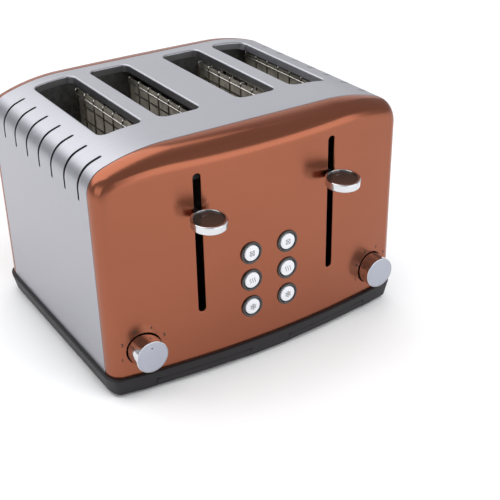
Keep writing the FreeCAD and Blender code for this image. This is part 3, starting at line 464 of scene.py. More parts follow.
def pierced(skin, outer, holes, grid, surface, clearance):
    """Covers an outline with holes by a curved skin whose edges turn into the holes.
    holes holds (outline, edge radius, fold depth); surface gives points and normals for flat places."""
    rims = [grown(hole, edge) for hole, edge, _ in holes]
    near = inside_outline(grid, outer) & (distance_to(grid, outer) > clearance)
    for rim in rims:
        near &= ~inside_outline(grid, rim) & (distance_to(grid, rim) > clearance)
    constraints, start = [], 0
    for loop in (outer, *rims):
        constraints += [(start + index, start + (index + 1) % len(loop)) for index in range(len(loop))]
        start += len(loop)
    flat = [Vector(point) for point in np.vstack([outer, *rims, grid[near]])]
    result = delaunay_2d_cdt(flat, constraints, [], 0, 1e-9)
    corners, triangles = np.array([tuple(point) for point in result[0]]), result[2]
    numbers = skin.add(*surface(corners))
    centres = np.array([corners[list(face)].mean(axis=0) for face in triangles])
    stays = inside_outline(centres, outer)
    for rim in rims:
        stays &= ~inside_outline(centres, rim)
    skin.faces += [[numbers[corner] for corner in face] for face, stay in zip(triangles, stays) if stay]
    for (hole, edge, fold), rim in zip(holes, rims):
        turn_edge(skin, rim, hole, surface, edge, fold)


def quarter_turn(points, ahead, normals, radius, steps=4):
    """Rows of a sheet that bends through a right angle, each with its normals."""
    for step in range(1, steps + 1):
        angle = math.pi / 2 * step / steps
        yield (points + ahead * radius * math.sin(angle) - normals * radius * (1 - math.cos(angle)),
               normals * math.cos(angle) + ahead * math.sin(angle))


def turn_edge(skin, rim, hole, surface, radius, depth):
    """Rolls the skin into a hole: a quarter turn from the rim, then a straight fold."""
    points, normals = surface(rim)
    inward = unit(surface(rim + (hole - rim) * 0.02)[0] - points)
    inward = unit(inward - normals * np.sum(inward * normals, axis=1, keepdims=True))
    previous = skin.add(points, normals)
    for row, turned in (*quarter_turn(points, inward, normals, radius),
                        (points + inward * radius - normals * depth, inward)):
        current = skin.add(row, turned)
        skin.strip(previous, current)
        previous = current


def grown(outline, distance):
    """An outline moved outwards by a distance; it runs anticlockwise."""
    outline = np.asarray(outline, float)
    along = unit(np.roll(outline, -1, axis=0) - np.roll(outline, 1, axis=0))
    return outline + np.column_stack([along[:, 1], -along[:, 0]]) * distance


def rounded_outline(x_low, x_high, y_low, y_high, corner, steps=6, side_step=8 * MM):
    """A rectangle with round corners, anticlockwise, with points along its sides too."""
    centres = ((x_high - corner, y_low + corner, -90), (x_high - corner, y_high - corner, 0),
               (x_low + corner, y_high - corner, 90), (x_low + corner, y_low + corner, 180))
    points = [np.array(place) for x, y, start in centres
              for place in arc(x, y, corner, start, start + 90, steps)]
    full = []
    for first, second in zip(points, points[1:] + points[:1]):
        run = np.linalg.norm(second - first)
        parts = max(1, int(round(run / side_step))) if run > 1e-7 else 0
        full += [first + (second - first) * part / parts for part in range(parts)]
    return np.array(full)


def even_grid(across, along, step):
    """Places on an even grid, from ranges and a step in millimetres."""
    return np.array([(x, y) for x in np.arange(*across, step) * MM for y in np.arange(*along, step) * MM])


def circle_outline(x, y, radius, steps=48):
    """A circle, anticlockwise."""
    return np.array([(x + radius * math.cos(2 * math.pi * step / steps),
                      y + radius * math.sin(2 * math.pi * step / steps)) for step in range(steps)])


# ------------------------------------------------------------ the case's outlines

def shoulder(flat, top, big, corner, side):
    """Where an outline's corner arc is centred, and the angle at which the big arc meets it."""
    x = side - corner
    z = top - big + math.sqrt((big - corner) ** 2 - (x - flat) ** 2)
    return x, z, math.atan2(z - (top - big), x - flat)


def half_outline(flat, top, big, corner, side, steps=(10, 16, 16, 14)):
    """Right half of an outline of the case, from the top's middle to the foot.
    Returns places (x, height above the foot)."""
    small_x, small_z, turn = shoulder(flat, top, big, corner, side)
    points = [(flat * step / steps[0], top) for step in range(steps[0])]
    for step in range(steps[1]):
        angle = math.pi / 2 + (turn - math.pi / 2) * step / steps[1]
        points.append((flat + big * math.cos(angle), top - big + big * math.sin(angle)))
    for step in range(steps[2]):
        angle = turn * (1 - step / steps[2])
        points.append((small_x + corner * math.cos(angle), small_z + corner * math.sin(angle)))
    points += [(side, small_z * (1 - step / steps[3])) for step in range(steps[3] + 1)]
    return np.array(points)


def full_outline(half):
    """Both halves, from the left foot over the top to the right foot."""
    left = half[::-1] * (-1, 1)
    return np.vstack([left[:-1], half])


def bow_y(x):
    """The bowed face's Y at X."""
    return FACE_FRONT + BOW_RADIUS - np.sqrt(BOW_RADIUS ** 2 - np.asarray(x) ** 2)


def bow_normals(x):
    """The bowed face's outward normals in plan."""
    return np.column_stack([x / BOW_RADIUS, -np.sqrt(1 - (x / BOW_RADIUS) ** 2)])


def face_surface(flat):
    """Places on the bowed face, for flat places (x, z)."""
    x, z = flat[:, 0], flat[:, 1]
    return np.column_stack([x, bow_y(x), z]), np.column_stack([bow_normals(x), np.zeros(len(x))])


def bend(first, control, last, share):
    """A place on the soft curve from first to last that leaves and arrives towards control."""
    return first * (1 - share) ** 2 + control * 2 * share * (1 - share) + last * share ** 2


def panel_skin(settings, holes):
    """A bowed face with a soft crease and a deep rolled border, folded in at its seam."""
    crease_line = full_outline(half_outline(*CREASE_OUTLINE))
    across = full_outline(half_outline(*SEAM_OUTLINE)) - crease_line
    widths, across = np.linalg.norm(across, axis=1), unit(across)
    face_edge = crease_line - across * settings.crease
    face_edge[0, 1] = face_edge[-1, 1] = 0
    edge, roll_end = settings.seam_edge, FRONT_SEAM - settings.seam_edge
    rows = []
    for corner, direction, wide, rim in zip(crease_line, across, widths, face_edge):
        crease_y = float(bow_y(corner[0]))
        depth = roll_end - crease_y
        radius = (wide ** 2 + depth ** 2) / (2 * wide)
        join = math.asin(min(1, depth / radius)) - settings.crease / radius

        def place(sideways, y):
            spot = corner + direction * sideways
            return np.array((spot[0], y, spot[1] + CASE_FOOT))

        def rolled(size, angle):
            return place(wide - size + size * math.cos(angle), roll_end + size * math.sin(angle))

        first = np.array((rim[0], float(bow_y(rim[0])), rim[1] + CASE_FOOT))
        roll = [rolled(radius, -join * (1 - step / 16)) for step in range(17)]
        profile = [bend(first, place(0, crease_y), roll[0], step / 8) for step in range(8)] + roll
        profile += [rolled(edge, math.pi / 2 * step / 4) for step in range(1, 5)]
        rows.append([*profile, place(wide - edge - settings.seam_fold, roll_end + edge)])
    rows = np.array(rows)
    normals = grid_normals(rows)
    normals[:, 0] = face_surface(rows[:, 0][:, [0, 2]])[1]
    normals[:, -2:] = (0, 1, 0)
    skin = Skin()
    skin.grid(rows, normals)
    outline = rows[::-1, 0][:, [0, 2]]
    share = np.arange(1, 36)[:, None] / 36
    outline = np.vstack([outline, outline[-1] + (outline[0] - outline[-1]) * share])
    grid = even_grid((-138, 139), (0, 190), 6) + (0, CASE_FOOT)
    pierced(skin, outline, holes, grid, face_surface, 2.2 * MM)
    return skin.welded()


def stadium(x, z_low, z_high, width):
    """An upright slot with round ends."""
    return rounded_outline(x - width / 2, x + width / 2, z_low, z_high, width / 2 - 1e-6, steps=8,
                           side_step=5 * MM)


def half_width(node_name):
    """Half of a node's size across, which is a round node's radius."""
    return (high(node_name).x - low(node_name).x) / 2


def front_holes(settings):
    """Lever slots, button holes and dial holes: outline, edge radius and fold depth."""
    holes = []
    for side in SIDES:
        lever, dial = middle("lever_knob_" + side), middle("dial_knob_" + side)
        holes.append((stadium(lever.x, *LEVER_SLOT), settings.hole_edge, 2 * MM))
        radius = half_width("dial_knob_" + side) + 0.8 * MM
        holes.append((circle_outline(dial.x, dial.z, radius, 56), 0.5 * MM, 2 * MM))
        for name in BUTTONS:
            cap = middle("button_%s_%s" % (name, side))
            holes.append((circle_outline(cap.x, cap.z, BUTTON_HOLE, 40), 0.3 * MM, 1.5 * MM))
    return holes


def mirrored(points, normals):
    """The front's places and normals, turned into the rear's."""
    return points * (1, -1, 1) + (0, 2 * MIRROR_Y, 0), normals * (1, -1, 1)


# ------------------------------------------------------------ round pieces

def build_mesh(name, points, faces, material, smooth_angle=35):
    """A painted piece from points and faces, with its sharp edges marked."""
    mesh = bpy.data.meshes.new(name)
    mesh.from_pydata([tuple(point) for point in points], [], faces)
    mesh.shade_smooth()
    mesh.set_sharp_from_angle(angle=math.radians(smooth_angle))
    return new_piece(mesh, material)


def turned_shape(profile, centre, axis, steps):
    """Points and faces of a profile turned about an axis. The profile is (radius, along the axis),
    and it runs so that the outside is on its right hand as it goes up the axis."""
    centre, axis = Vector(centre), Vector(axis).normalized()
    side = axis.orthogonal().normalized()
    other = axis.cross(side)
    points, faces, rows = [], [], []
    for radius, along in profile:
        count = steps if radius > 1e-7 else 1
        numbers = list(range(len(points), len(points) + count))
        rows.append(numbers * (steps // count))
        for angle in (2 * math.pi * step / steps for step in range(count)):
            around = side * math.cos(angle) + other * math.sin(angle)
            points.append(centre + axis * along + around * radius)
    if profile[0] == profile[-1]:
        points = points[:-steps]
        rows[-1] = rows[0]
    for first, second in zip(rows, rows[1:]):
        for step in range(steps):
            following = (step + 1) % steps
            corners = (first[step], first[following], second[following], second[step])
            face = list(dict.fromkeys(corners))
            if len(face) > 2:
                faces.append(face)
    return points, faces


def arc(centre_r, centre_h, radius, start, stop, steps=5):
    """Part of a profile: a round corner, by angles in degrees from +radius towards +axis."""
    angles = [math.radians(start + (stop - start) * step / steps) for step in range(steps + 1)]
    return [(centre_r + radius * math.cos(angle), centre_h + radius * math.sin(angle)) for angle in angles]


def area_normals(piece):
    """Gives flat faces flat shading beside their round edges."""
    modifier = piece.modifiers.new("flat_faces", "WEIGHTED_NORMAL")
    modifier.keep_sharp, modifier.weight = True, 100
    return settled(piece)


def settled(piece):
    """Replaces a piece's mesh by what its modifiers make of it."""
    graph = bpy.context.evaluated_depsgraph_get()
    mesh = bpy.data.meshes.new_from_object(piece.evaluated_get(graph), depsgraph=graph)
    mesh.name = piece.name
    piece.modifiers.clear()
    piece.data = mesh
    return piece


def lathe(name, profile, centre, axis, material, steps=64, angle=35):
    """A painted piece from a profile turned about an axis."""
    points, faces = turned_shape(profile, centre, axis, steps)
    return area_normals(build_mesh(name, points, faces, material, angle))


def joined(name, pieces):
    """One piece from several, with their materials kept."""
    for piece in bpy.context.selected_objects:
        piece.select_set(False)
    for piece in pieces:
        piece.select_set(True)
    bpy.context.view_layer.objects.active = pieces[0]
    bpy.ops.object.join()
    pieces[0].name = pieces[0].data.name = name
    return pieces[0]


def settle(piece, body, slot, *nodes):
    """Says where a finished piece rides and hides the CAD nodes it stands for; its material slot is not used.
    """
    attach(piece, body)
    if nodes:
        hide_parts(*nodes)
    return piece


# ------------------------------------------------------------ repeated shapes and marks

def row_tree(name, extra=()):
    """A geometry tree with a shape, how often and how far apart it repeats, and its material."""
    tree = bpy.data.node_groups.new(name, "GeometryNodeTree")
    for key, kind, default in (("Geometry", "Geometry", None), *extra, ("Count", "Int", 1),
                               ("Step", "Vector", None), ("Rows", "Int", 1), ("Row Step", "Vector", None),
                               ("Material", "Material", None)):
        socket(tree, key, "NodeSocket" + kind, default)
    socket(tree, "Geometry", "NodeSocketGeometry", output=True)
    return tree, tree.nodes.new("NodeGroupInput"), tree.nodes.new("NodeGroupOutput")


def repeat_shape(tree, source, result, shape):
    """Copies a shape along a row and the row along the rows, as real geometry with its material."""
    for count, step in (("Count", "Step"), ("Rows", "Row Step")):
        line = node(tree, "GeometryNodeMeshLine", {"mode": "OFFSET"},
                    links={"Count": source.outputs[count], "Offset": source.outputs[step]})
        copies = node(tree, "GeometryNodeInstanceOnPoints",
                      links={"Points": line.outputs[0], "Instance": shape})
        shape = node(tree, "GeometryNodeRealizeInstances", links={0: copies.outputs[0]}).outputs[0]
    painted = node(tree, "GeometryNodeSetMaterial",
                   links={"Geometry": shape, "Material": source.outputs["Material"]})
    tree.links.new(painted.outputs[0], result.inputs[0])
    return tree


def shape_rows():
    """Copies of one finished shape."""
    tree, source, result = row_tree("shape_rows")
    return repeat_shape(tree, source, result, source.outputs["Geometry"])


def wire_rows():
    """Copies of one wire or ribbon, swept along the shape's line."""
    tree, source, result = row_tree(
        "wire_rows", (("Wire Width", "Float", 1.8 * MM), ("Wire Thickness", "Float", 1.8 * MM)))
    line = node(tree, "GeometryNodeMeshToCurve", links={0: source.outputs["Geometry"]})
    upright = node(tree, "GeometryNodeSetCurveNormal", {"mode": "Z_UP"}, links={0: line.outputs[0]})
    circle = node(tree, "GeometryNodeCurvePrimitiveCircle", {"mode": "RADIUS"},
                  {"Resolution": 10, "Radius": 0.5})
    size = node(tree, "ShaderNodeCombineXYZ", inputs={"Z": 1.0},
                links={"X": source.outputs["Wire Thickness"], "Y": source.outputs["Wire Width"]})
    section = node(tree, "GeometryNodeTransform", links={0: circle.outputs[0], "Scale": size.outputs[0]})
    wire = node(tree, "GeometryNodeCurveToMesh", inputs={"Fill Caps": True},
                links={"Curve": upright.outputs[0], "Profile Curve": section.outputs[0]})
    return repeat_shape(tree, source, result, wire.outputs[0])


def repeated(piece, make, material, angle=35, **values):
    """Runs a repeating tree on a piece and keeps the result as its mesh."""
    modifier = piece.modifiers.new(make.__name__, "NODES")
    modifier.node_group = shared_group(make)
    values = {key.replace("_", " "): value for key, value in values.items()}
    values["Material"] = materials()[material]
    for item in modifier.node_group.interface.items_tree:
        if item.in_out == "INPUT" and item.name in values:
            modifier[item.identifier] = values[item.name]
    settled(piece)
    piece.data.shade_smooth()
    piece.data.set_sharp_from_angle(angle=math.radians(angle))
    return piece


def wires(name, line, material, width, thickness=None, closed=False, **values):
    """Copies of one wire along a line of points."""
    mesh = bpy.data.meshes.new(name)
    edges = [(index, index + 1) for index in range(len(line) - 1)]
    if closed:
        edges.append((len(line) - 1, 0))
    mesh.from_pydata(line, edges, [])
    return repeated(new_piece(mesh), wire_rows, material, 50, Wire_Width=width,
                    Wire_Thickness=thickness or width, **values)


def strokes(name, lines, width, lift, place, material):
    """Printed lines: flat closed bands along lines of (across, up); place gives their points."""
    shell = bmesh.new()
    for line in lines:
        line = [Vector(point) for point in line]
        rows = []
        for before, point, after in zip(line[:1] + line, line, line[1:] + line[-1:]):
            along = (after - before).normalized()
            across = Vector((-along.y, along.x)) * width / 2
            rows.append([shell.verts.new(place(*(point + across * side), height))
                         for side, height in ((1, 0), (-1, 0), (-1, lift), (1, lift))])
        for first, second in zip(rows, rows[1:]):
            for corner, other in ((0, 1), (1, 2), (2, 3), (3, 0)):
                shell.faces.new((first[corner], first[other], second[other], second[corner]))
        shell.faces.new(rows[0])
        shell.faces.new(rows[-1])
    bmesh.ops.recalc_face_normals(shell, faces=shell.faces)
    mesh = bpy.data.meshes.new(name)
    shell.to_mesh(mesh)
    shell.free()
    return new_piece(mesh, material)


# ------------------------------------------------------------ operators: the case

class TOASTER_OT_front_panel(bpy.types.Operator):
    """Makes the copper front panel with its lever slots and holes"""
    bl_idname = "toaster.front_panel"
    bl_label = "Front panel"

    def execute(self, context):
        settings = context.scene.toaster_case
        skin = panel_skin(settings, front_holes(settings))
        piece = build_sheet("copper_front", skin, settings.gauge, "copper")
        settle(piece, "housing", "copper_steel", "front_panel")
        return {"FINISHED"}


class TOASTER_OT_rear_panel(bpy.types.Operator):
    """Makes the plain copper rear panel"""
    bl_idname = "toaster.rear_panel"
    bl_label = "Rear panel"

    def execute(self, context):
        settings = context.scene.toaster_case
        skin = panel_skin(settings, []).turned(mirrored)
        piece = build_sheet("copper_rear", skin, settings.gauge, "copper")
        settle(piece, "housing", "copper_steel", "rear_panel")
        return {"FINISHED"}


def wrap_line():
    """The wrap's outline: lengths along it from the top's middle, and its places."""
    line = full_outline(half_outline(*SEAM_OUTLINE, steps=(12, 24, 40, 24))) + (0, CASE_FOOT)
    lengths = np.concatenate([[0], np.cumsum(np.linalg.norm(np.diff(line, axis=0), axis=1))])
    return lengths - lengths[-1] / 2, line


def wrap_normal(x, z):
    """The outward normal of the case's outline at a place on it."""
    flat, height, big = SEAM_OUTLINE[:3]
    small_x, small_z, turn = shoulder(*SEAM_OUTLINE)
    small_z += CASE_FOOT
    side = abs(x)
    if side <= flat:
        return 0.0, 0.0, 1.0
    if z <= small_z:
        return math.copysign(1, x), 0.0, 0.0
    angle = math.atan2(z - (CASE_FOOT + height - big), side - flat)
    if angle < turn:
        angle = math.atan2(z - small_z, side - small_x)
    return math.copysign(math.cos(angle), x), 0.0, math.sin(angle)


class TOASTER_OT_wrap(bpy.types.Operator):
    """Makes the silver sheet of the top and sides, with its bread slots and shoulder vents"""
    bl_idname = "toaster.wrap"
    bl_label = "Wrap"

    def execute(self, context):
        settings = context.scene.toaster_case
        lengths, line = wrap_line()

        def surface(flat):
            x, z = (np.interp(flat[:, 0], lengths, line[:, part]) for part in (0, 1))
            return (np.column_stack([x, flat[:, 1], z]),
                    np.array([wrap_normal(*place) for place in zip(x, z)]))

        edge, fold = settings.seam_edge, settings.seam_fold
        front, rear = WRAP_FRONT + edge, WRAP_REAR - edge
        top_half = len(line) // 2

        def length_at(x):
            upper = np.abs(line[:, 0]) < CASE_SIDE - 1e-6
            return np.interp(x, line[upper, 0], lengths[upper])

        holes = []
        for centre in SLOT_CENTRES:
            hole = rounded_outline(centre - SLOT_HALF, centre + SLOT_HALF, *SLOT_ENDS, SLOT_CORNER)
            hole[:, 0] = length_at(hole[:, 0])
            holes.append((hole, settings.slot_edge, settings.slot_fold))
        inner, foot = float(length_at(VENT_INNER)), line[:, 1]
        side = top_half + np.argmax((line[top_half:, 0] > 140 * MM) & (foot[top_half:] < VENT_FOOT))
        outer = lengths[side] - (VENT_FOOT - foot[side])
        for sign in (-1, 1):
            for y in VENT_ROWS:
                ends = sorted((sign * inner, sign * outer))
                vent = rounded_outline(*ends, y, y + 3 * MM, 1.49 * MM, side_step=3 * MM)
                holes.append((vent, 0.3 * MM, 1.2 * MM))
        left, right = lengths[0], lengths[-1]
        rows = np.linspace(front, rear, 25)
        outline = ([(s, front) for s in lengths] + [(right, y) for y in rows[1:-1]]
                   + [(s, rear) for s in lengths[::-1]] + [(left, y) for y in rows[1:-1][::-1]])
        grid = np.array([(s, y) for s in lengths[1:-1] for y in rows[1:-1]])
        skin = Skin()
        pierced(skin, np.array(outline), holes, grid, surface, 1.3 * MM)
        for y, way in ((front, -1), (rear, 1)):
            self.seam(skin, surface, lengths, y, way, edge, fold)
        piece = build_sheet("silver_wrap", skin.welded(), settings.gauge, "silver")
        settle(piece, "housing", "silver_steel", "wrap_shell")
        return {"FINISHED"}

    def seam(self, skin, surface, lengths, y, way, edge, fold):
        """Folds the sheet in along a seam."""
        points, normals = surface(np.array([(s, y) for s in lengths]))
        outward = np.tile((0.0, way, 0.0), (len(points), 1))
        rows = [(points, normals), *quarter_turn(points, outward, normals, edge),
                (points + outward * edge - normals * (edge + fold), outward)]
        rows = np.array(rows[::-way])
        skin.grid(rows[:, 0], rows[:, 1])


# ------------------------------------------------------------ operators: the base

def base_plan(reach):
    """Half of the base's upper outline seen from above, from the front's middle round to the rear's
    middle on the right: places and outward normals."""
    crease = np.array((FACE_HALF + BASE_PROUD, CREASE_Y - BASE_PROUD))
    side_x, seam_y = CASE_SIDE + BASE_PROUD, FRONT_SEAM + 0.4 * MM
    wide, depth = side_x - crease[0], seam_y - crease[1]
    roll = (wide ** 2 + depth ** 2) / (2 * wide)
    stations = np.array(sorted({*np.linspace(0, crease[0] - reach, 34), TRAY_INNER, TRAY_OUTER}))
    points = [*np.column_stack([stations, BASE_BOW - np.sqrt(BOW_RADIUS ** 2 - stations ** 2)])]
    normals = [*bow_normals(stations)]
    join = math.asin(depth / roll) - reach / roll

    def rolled(angle):
        return np.array((side_x - roll + roll * math.cos(angle), seam_y - roll * math.sin(angle)))

    first, last = points[-1], rolled(join)
    for share in (step / 8 for step in range(1, 9)):
        points.append(bend(first, crease, last, share))
        along = unit((crease - first) * (1 - share) + (last - crease) * share)
        normals.append((along[1], -along[0]))
    for angle in (join * (1 - step / 8) for step in range(1, 9)):
        points.append(rolled(angle))
        normals.append((math.cos(angle), -math.sin(angle)))
    points += [(side_x, seam_y + (MIRROR_Y - seam_y) * step / 12) for step in range(1, 13)]
    points, normals = np.array(points), np.array([*normals, *[(1.0, 0.0)] * 12])
    rear = points[:-1][::-1] * (1, -1) + (0, 2 * MIRROR_Y)
    return np.vstack([points, rear]), np.vstack([normals, normals[:-1][::-1] * (1, -1)])


def base_ring(reach):
    """The base's whole upper outline, anticlockwise from the front's middle."""
    return [np.vstack([half, half[1:-1][::-1] * (-1, 1)]) for half in base_plan(reach)]


def base_profile(settings, foot):
    """The base's side from its inner top edge to its floor, as rows of
    (inwards, height, normal out, normal up)."""
    tilt, edge, low_edge = settings.taper, settings.top_edge, settings.low_edge
    slope, inset = math.tan(tilt), 0.03 * MM
    rows = [(6 * MM, CASE_FOOT, 0, 1), (edge + 0.4 * MM, CASE_FOOT, 0, 1)]
    for step in range(6):
        angle = math.radians(90 - (90 + math.degrees(tilt)) * step / 5)
        rows.append((inset + edge - edge * math.cos(angle), CASE_FOOT - edge + edge * math.sin(angle),
                     math.cos(angle), math.sin(angle)))
    start_in, start_z = rows[-1][:2]
    heights = (15.2 * MM, 13.5 * MM, TRAY_TOP + TRAY_GAP, 9.5 * MM, 7.2 * MM, 5.2 * MM)
    rows += [(start_in + (start_z - z) * slope, z, math.cos(tilt), -math.sin(tilt)) for z in heights]
    end_z = foot + low_edge
    end_in = start_in + (start_z - end_z) * slope
    for step in range(5):
        angle = -tilt - (math.pi / 2 - tilt) * step / 4
        rows.append((end_in + low_edge * (math.cos(tilt) - math.cos(angle)),
                     end_z + low_edge * (math.sin(angle) + math.sin(tilt)), math.cos(angle), math.sin(angle)))
    return rows


def ring_surface(ring, normals, rows):
    """Places and normals of a side that follows a ring seen from above."""
    points = [np.column_stack([ring - normals * inwards, np.full(len(ring), z)]) for inwards, z, _, _ in rows]
    directions = [np.column_stack([normals * out, np.full(len(ring), up)]) for _, _, out, up in rows]
    return np.array(points), np.array(directions)


class TOASTER_OT_base(bpy.types.Operator):
    """Makes the charcoal base with its two tray mouths, its floor vents and its screw wells"""
    bl_idname = "toaster.base"
    bl_label = "Base"

    def execute(self, context):
        settings = context.scene.toaster_base
        foot = low("base").z
        points, directions = (np.concatenate([part, part[:, :1]], axis=1) for part in
                              ring_surface(*base_ring(4 * MM), base_profile(settings, foot)))

        def stays(row, column):
            z = (points[row, column, 2] + points[row + 1, column, 2]) / 2
            spot = (points[0, column] + points[0, column + 1]) / 2
            mouth = TRAY_INNER < abs(spot[0]) < TRAY_OUTER and spot[1] < 0
            return not (mouth and z < TRAY_TOP + TRAY_GAP)

        skin = Skin()
        skin.grid(points, directions, stays)
        self.floor(skin, points[-1, :-1], foot)
        piece = build_sheet("charcoal_base", skin.welded(), settings.wall, "charcoal")
        settle(piece, "housing", "charcoal_plastic", "base")
        return {"FINISHED"}

    def recessed(self, outline):
        """The underside's outline, stepped back behind the tray fronts."""
        kept, near = [], 1e-3 * MM
        for point in outline:
            across = abs(point[0])
            if point[1] > 0 or across < TRAY_INNER - near or across > TRAY_OUTER + near:
                kept.append(point)
            elif abs(across - TRAY_INNER) < near or abs(across - TRAY_OUTER) < near:
                back = (point[0], CREASE_Y + 0.8 * MM)
                outward = across > (TRAY_INNER + TRAY_OUTER) / 2
                entering = outward == (point[0] < 0)
                kept += [point, back] if entering else [back, point]
        return np.array(kept)

    def floor(self, skin, ring, foot):
        """The base's underside, with slots under the crumb trays and wells for the screws."""
        outline = self.recessed(ring[:, :2])
        depth = 1.9 * MM
        holes = [(stadium((sign * 64 + column * 11) * MM, y, y + 46 * MM, 4 * MM), 0.5 * MM, depth)
                 for sign in (-1, 1) for column in range(-3, 4) for y in (-38 * MM, 28 * MM)]
        lowest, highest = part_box("base_screws")
        holes += [(circle_outline(x, y, SCREW_HEAD + 0.3 * MM, 20), 0.4 * MM, depth)
                  for x in (lowest.x + SCREW_HEAD, 0, highest.x - SCREW_HEAD)
                  for y in (lowest.y + SCREW_HEAD, highest.y - SCREW_HEAD)]
        grid = even_grid((-140, 141), (-110, 141), 12)

        def surface(flat):
            points = np.column_stack([flat[:, 0], flat[:, 1], np.full(len(flat), foot)])
            return points, np.tile((0.0, 0.0, -1.0), (len(flat), 1))

        start = len(skin.faces)
        pierced(skin, outline, holes, grid, surface, 2.0 * MM)
        skin.faces[start:] = [face[::-1] for face in skin.faces[start:]]


# ------------------------------------------------------------ operators: trays, controls and inside

class TOASTER_OT_crumb_trays(bpy.types.Operator):
    """Makes the two crumb trays: a pressed pan and a front that follows the base"""
    bl_idname = "toaster.crumb_trays"
    bl_label = "Crumb trays"

    def execute(self, context):
        settings = context.scene.toaster_base
        for side in SIDES:
            front, pan = "tray_front_" + side, "crumb_tray_" + side
            settle(self.front(settings, front), "tray_" + side, "charcoal_plastic", front)
            settle(self.pan(pan), "tray_" + side, "zinc_steel", pan)
        return {"FINISHED"}

    def front(self, settings, node_name):
        """The tray's front, cut from the same surface as the base."""
        lowest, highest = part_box(node_name)
        x = np.linspace(lowest.x, highest.x, 19)
        ring = np.column_stack([x, BASE_BOW - np.sqrt(BOW_RADIUS ** 2 - x ** 2)])
        rows = [row for row in base_profile(settings, lowest.z) if row[1] < TRAY_TOP + 0.01 * MM]
        slope, edge = math.tan(settings.taper), 0.3 * MM
        inwards, height, out, up = rows[0]
        top_in = inwards - (TRAY_TOP - height) * slope
        rows = [(top_in + 3 * MM, TRAY_TOP, 0, 1), (top_in + edge, TRAY_TOP, 0.3, 0.95),
                (top_in + edge * slope, TRAY_TOP - edge, out, up), *rows]
        points, directions = ring_surface(ring, bow_normals(x), rows)
        points[:3, (0, -1), 2] -= 0.6 * MM
        skin = Skin()
        skin.grid(points, directions)
        return build_sheet("tray_face_" + node_name[11:], skin.welded(), settings.wall, "charcoal")

    def pan(self, node_name):
        """A pressed sheet pan with round corners and a bead round its top edge."""
        lowest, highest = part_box(node_name)
        sheet, corner, bend, bead = 0.7 * MM, 6 * MM, 2 * MM, 0.5 * MM
        floor, top = lowest.z, highest.z
        rows = [(bend + 4 * MM, floor)]
        rows += [(bend - bend * math.cos(angle) + bead, floor + bend - bend * math.sin(angle))
                 for angle in np.radians((90, 60, 30, 0))]
        rows += [(bead, top - 2 * bead), (0, top - bead * 1.5), (0, top - bead * 0.5), (bead * 0.5, top),
                 (bead + sheet * 0.7, top), (bead + sheet, top - bead)]
        inner = bend - sheet
        rows += [(bead + bend - inner * math.cos(angle), floor + bend - inner * math.sin(angle))
                 for angle in np.radians((0, 30, 60, 90))]
        rows += [(bend + 4 * MM, floor + sheet)]
        points, faces, previous = [], [], []
        for inwards, z in rows:
            ring = rounded_outline(lowest.x + inwards, highest.x - inwards, lowest.y + inwards,
                                   highest.y - inwards, corner - min(inwards, 4 * MM), side_step=500 * MM)
            current = list(range(len(points), len(points) + len(ring)))
            points += [(a, b, z) for a, b in ring]
            if previous:
                faces += zip(previous, previous[1:] + previous[:1], current[1:] + current[:1], current)
            else:
                faces.append(current[::-1])
            previous = current
        faces.append(previous)
        return area_normals(build_mesh("tray_pan_" + node_name[11:], points, faces, "zinc_steel"))


class TOASTER_OT_levers(bpy.types.Operator):
    """Makes the two lever knobs: a chrome ring with a dark disc sunk into it"""
    bl_idname = "toaster.levers"
    bl_label = "Levers"

    def execute(self, context):
        settings = context.scene.toaster_controls
        tilt, half = settings.knob_tilt, settings.knob_height / 2
        axis = (0, -math.sin(tilt), math.cos(tilt))
        edge, lip = 0.9 * MM, 0.45 * MM
        for side in SIDES:
            knob = "lever_knob_" + side
            centre, radius = middle(knob), half_width(knob)
            inner = radius - settings.knob_wall
            reach = (radius - edge) * math.cos(tilt) + edge + (half - edge) * math.sin(tilt)
            centre.y = low(knob).y + reach
            ring = [(inner, -half)] + arc(radius - edge, edge - half, edge, -90, 0)
            ring += arc(radius - edge, half - edge, edge, 0, 90)
            ring += arc(inner + lip, half - lip, lip, 90, 180) + [(inner, -half)]
            piece = lathe("lever_ring_" + side, ring, centre, axis, "chrome", 96)
            settle(piece, "lever_" + side, "chrome", knob)
            back, top, fit = 0.6 * MM - half, half - settings.disc_sink, inner - 0.02 * MM
            disc = [(0, back), (fit, back), (fit, top - 0.2 * MM), (fit - 0.2 * MM, top)]
            disc += [(fit * share, top - 0.3 * MM * (1 - share ** 2)) for share in (0.9, 0.75, 0.55, 0.3, 0)]
            piece = lathe("lever_disc_" + side, disc, centre, axis, "brown_plastic", 80)
            settle(piece, "lever_" + side, "brown_plastic", "lever_inset_" + side)
        return {"FINISHED"}


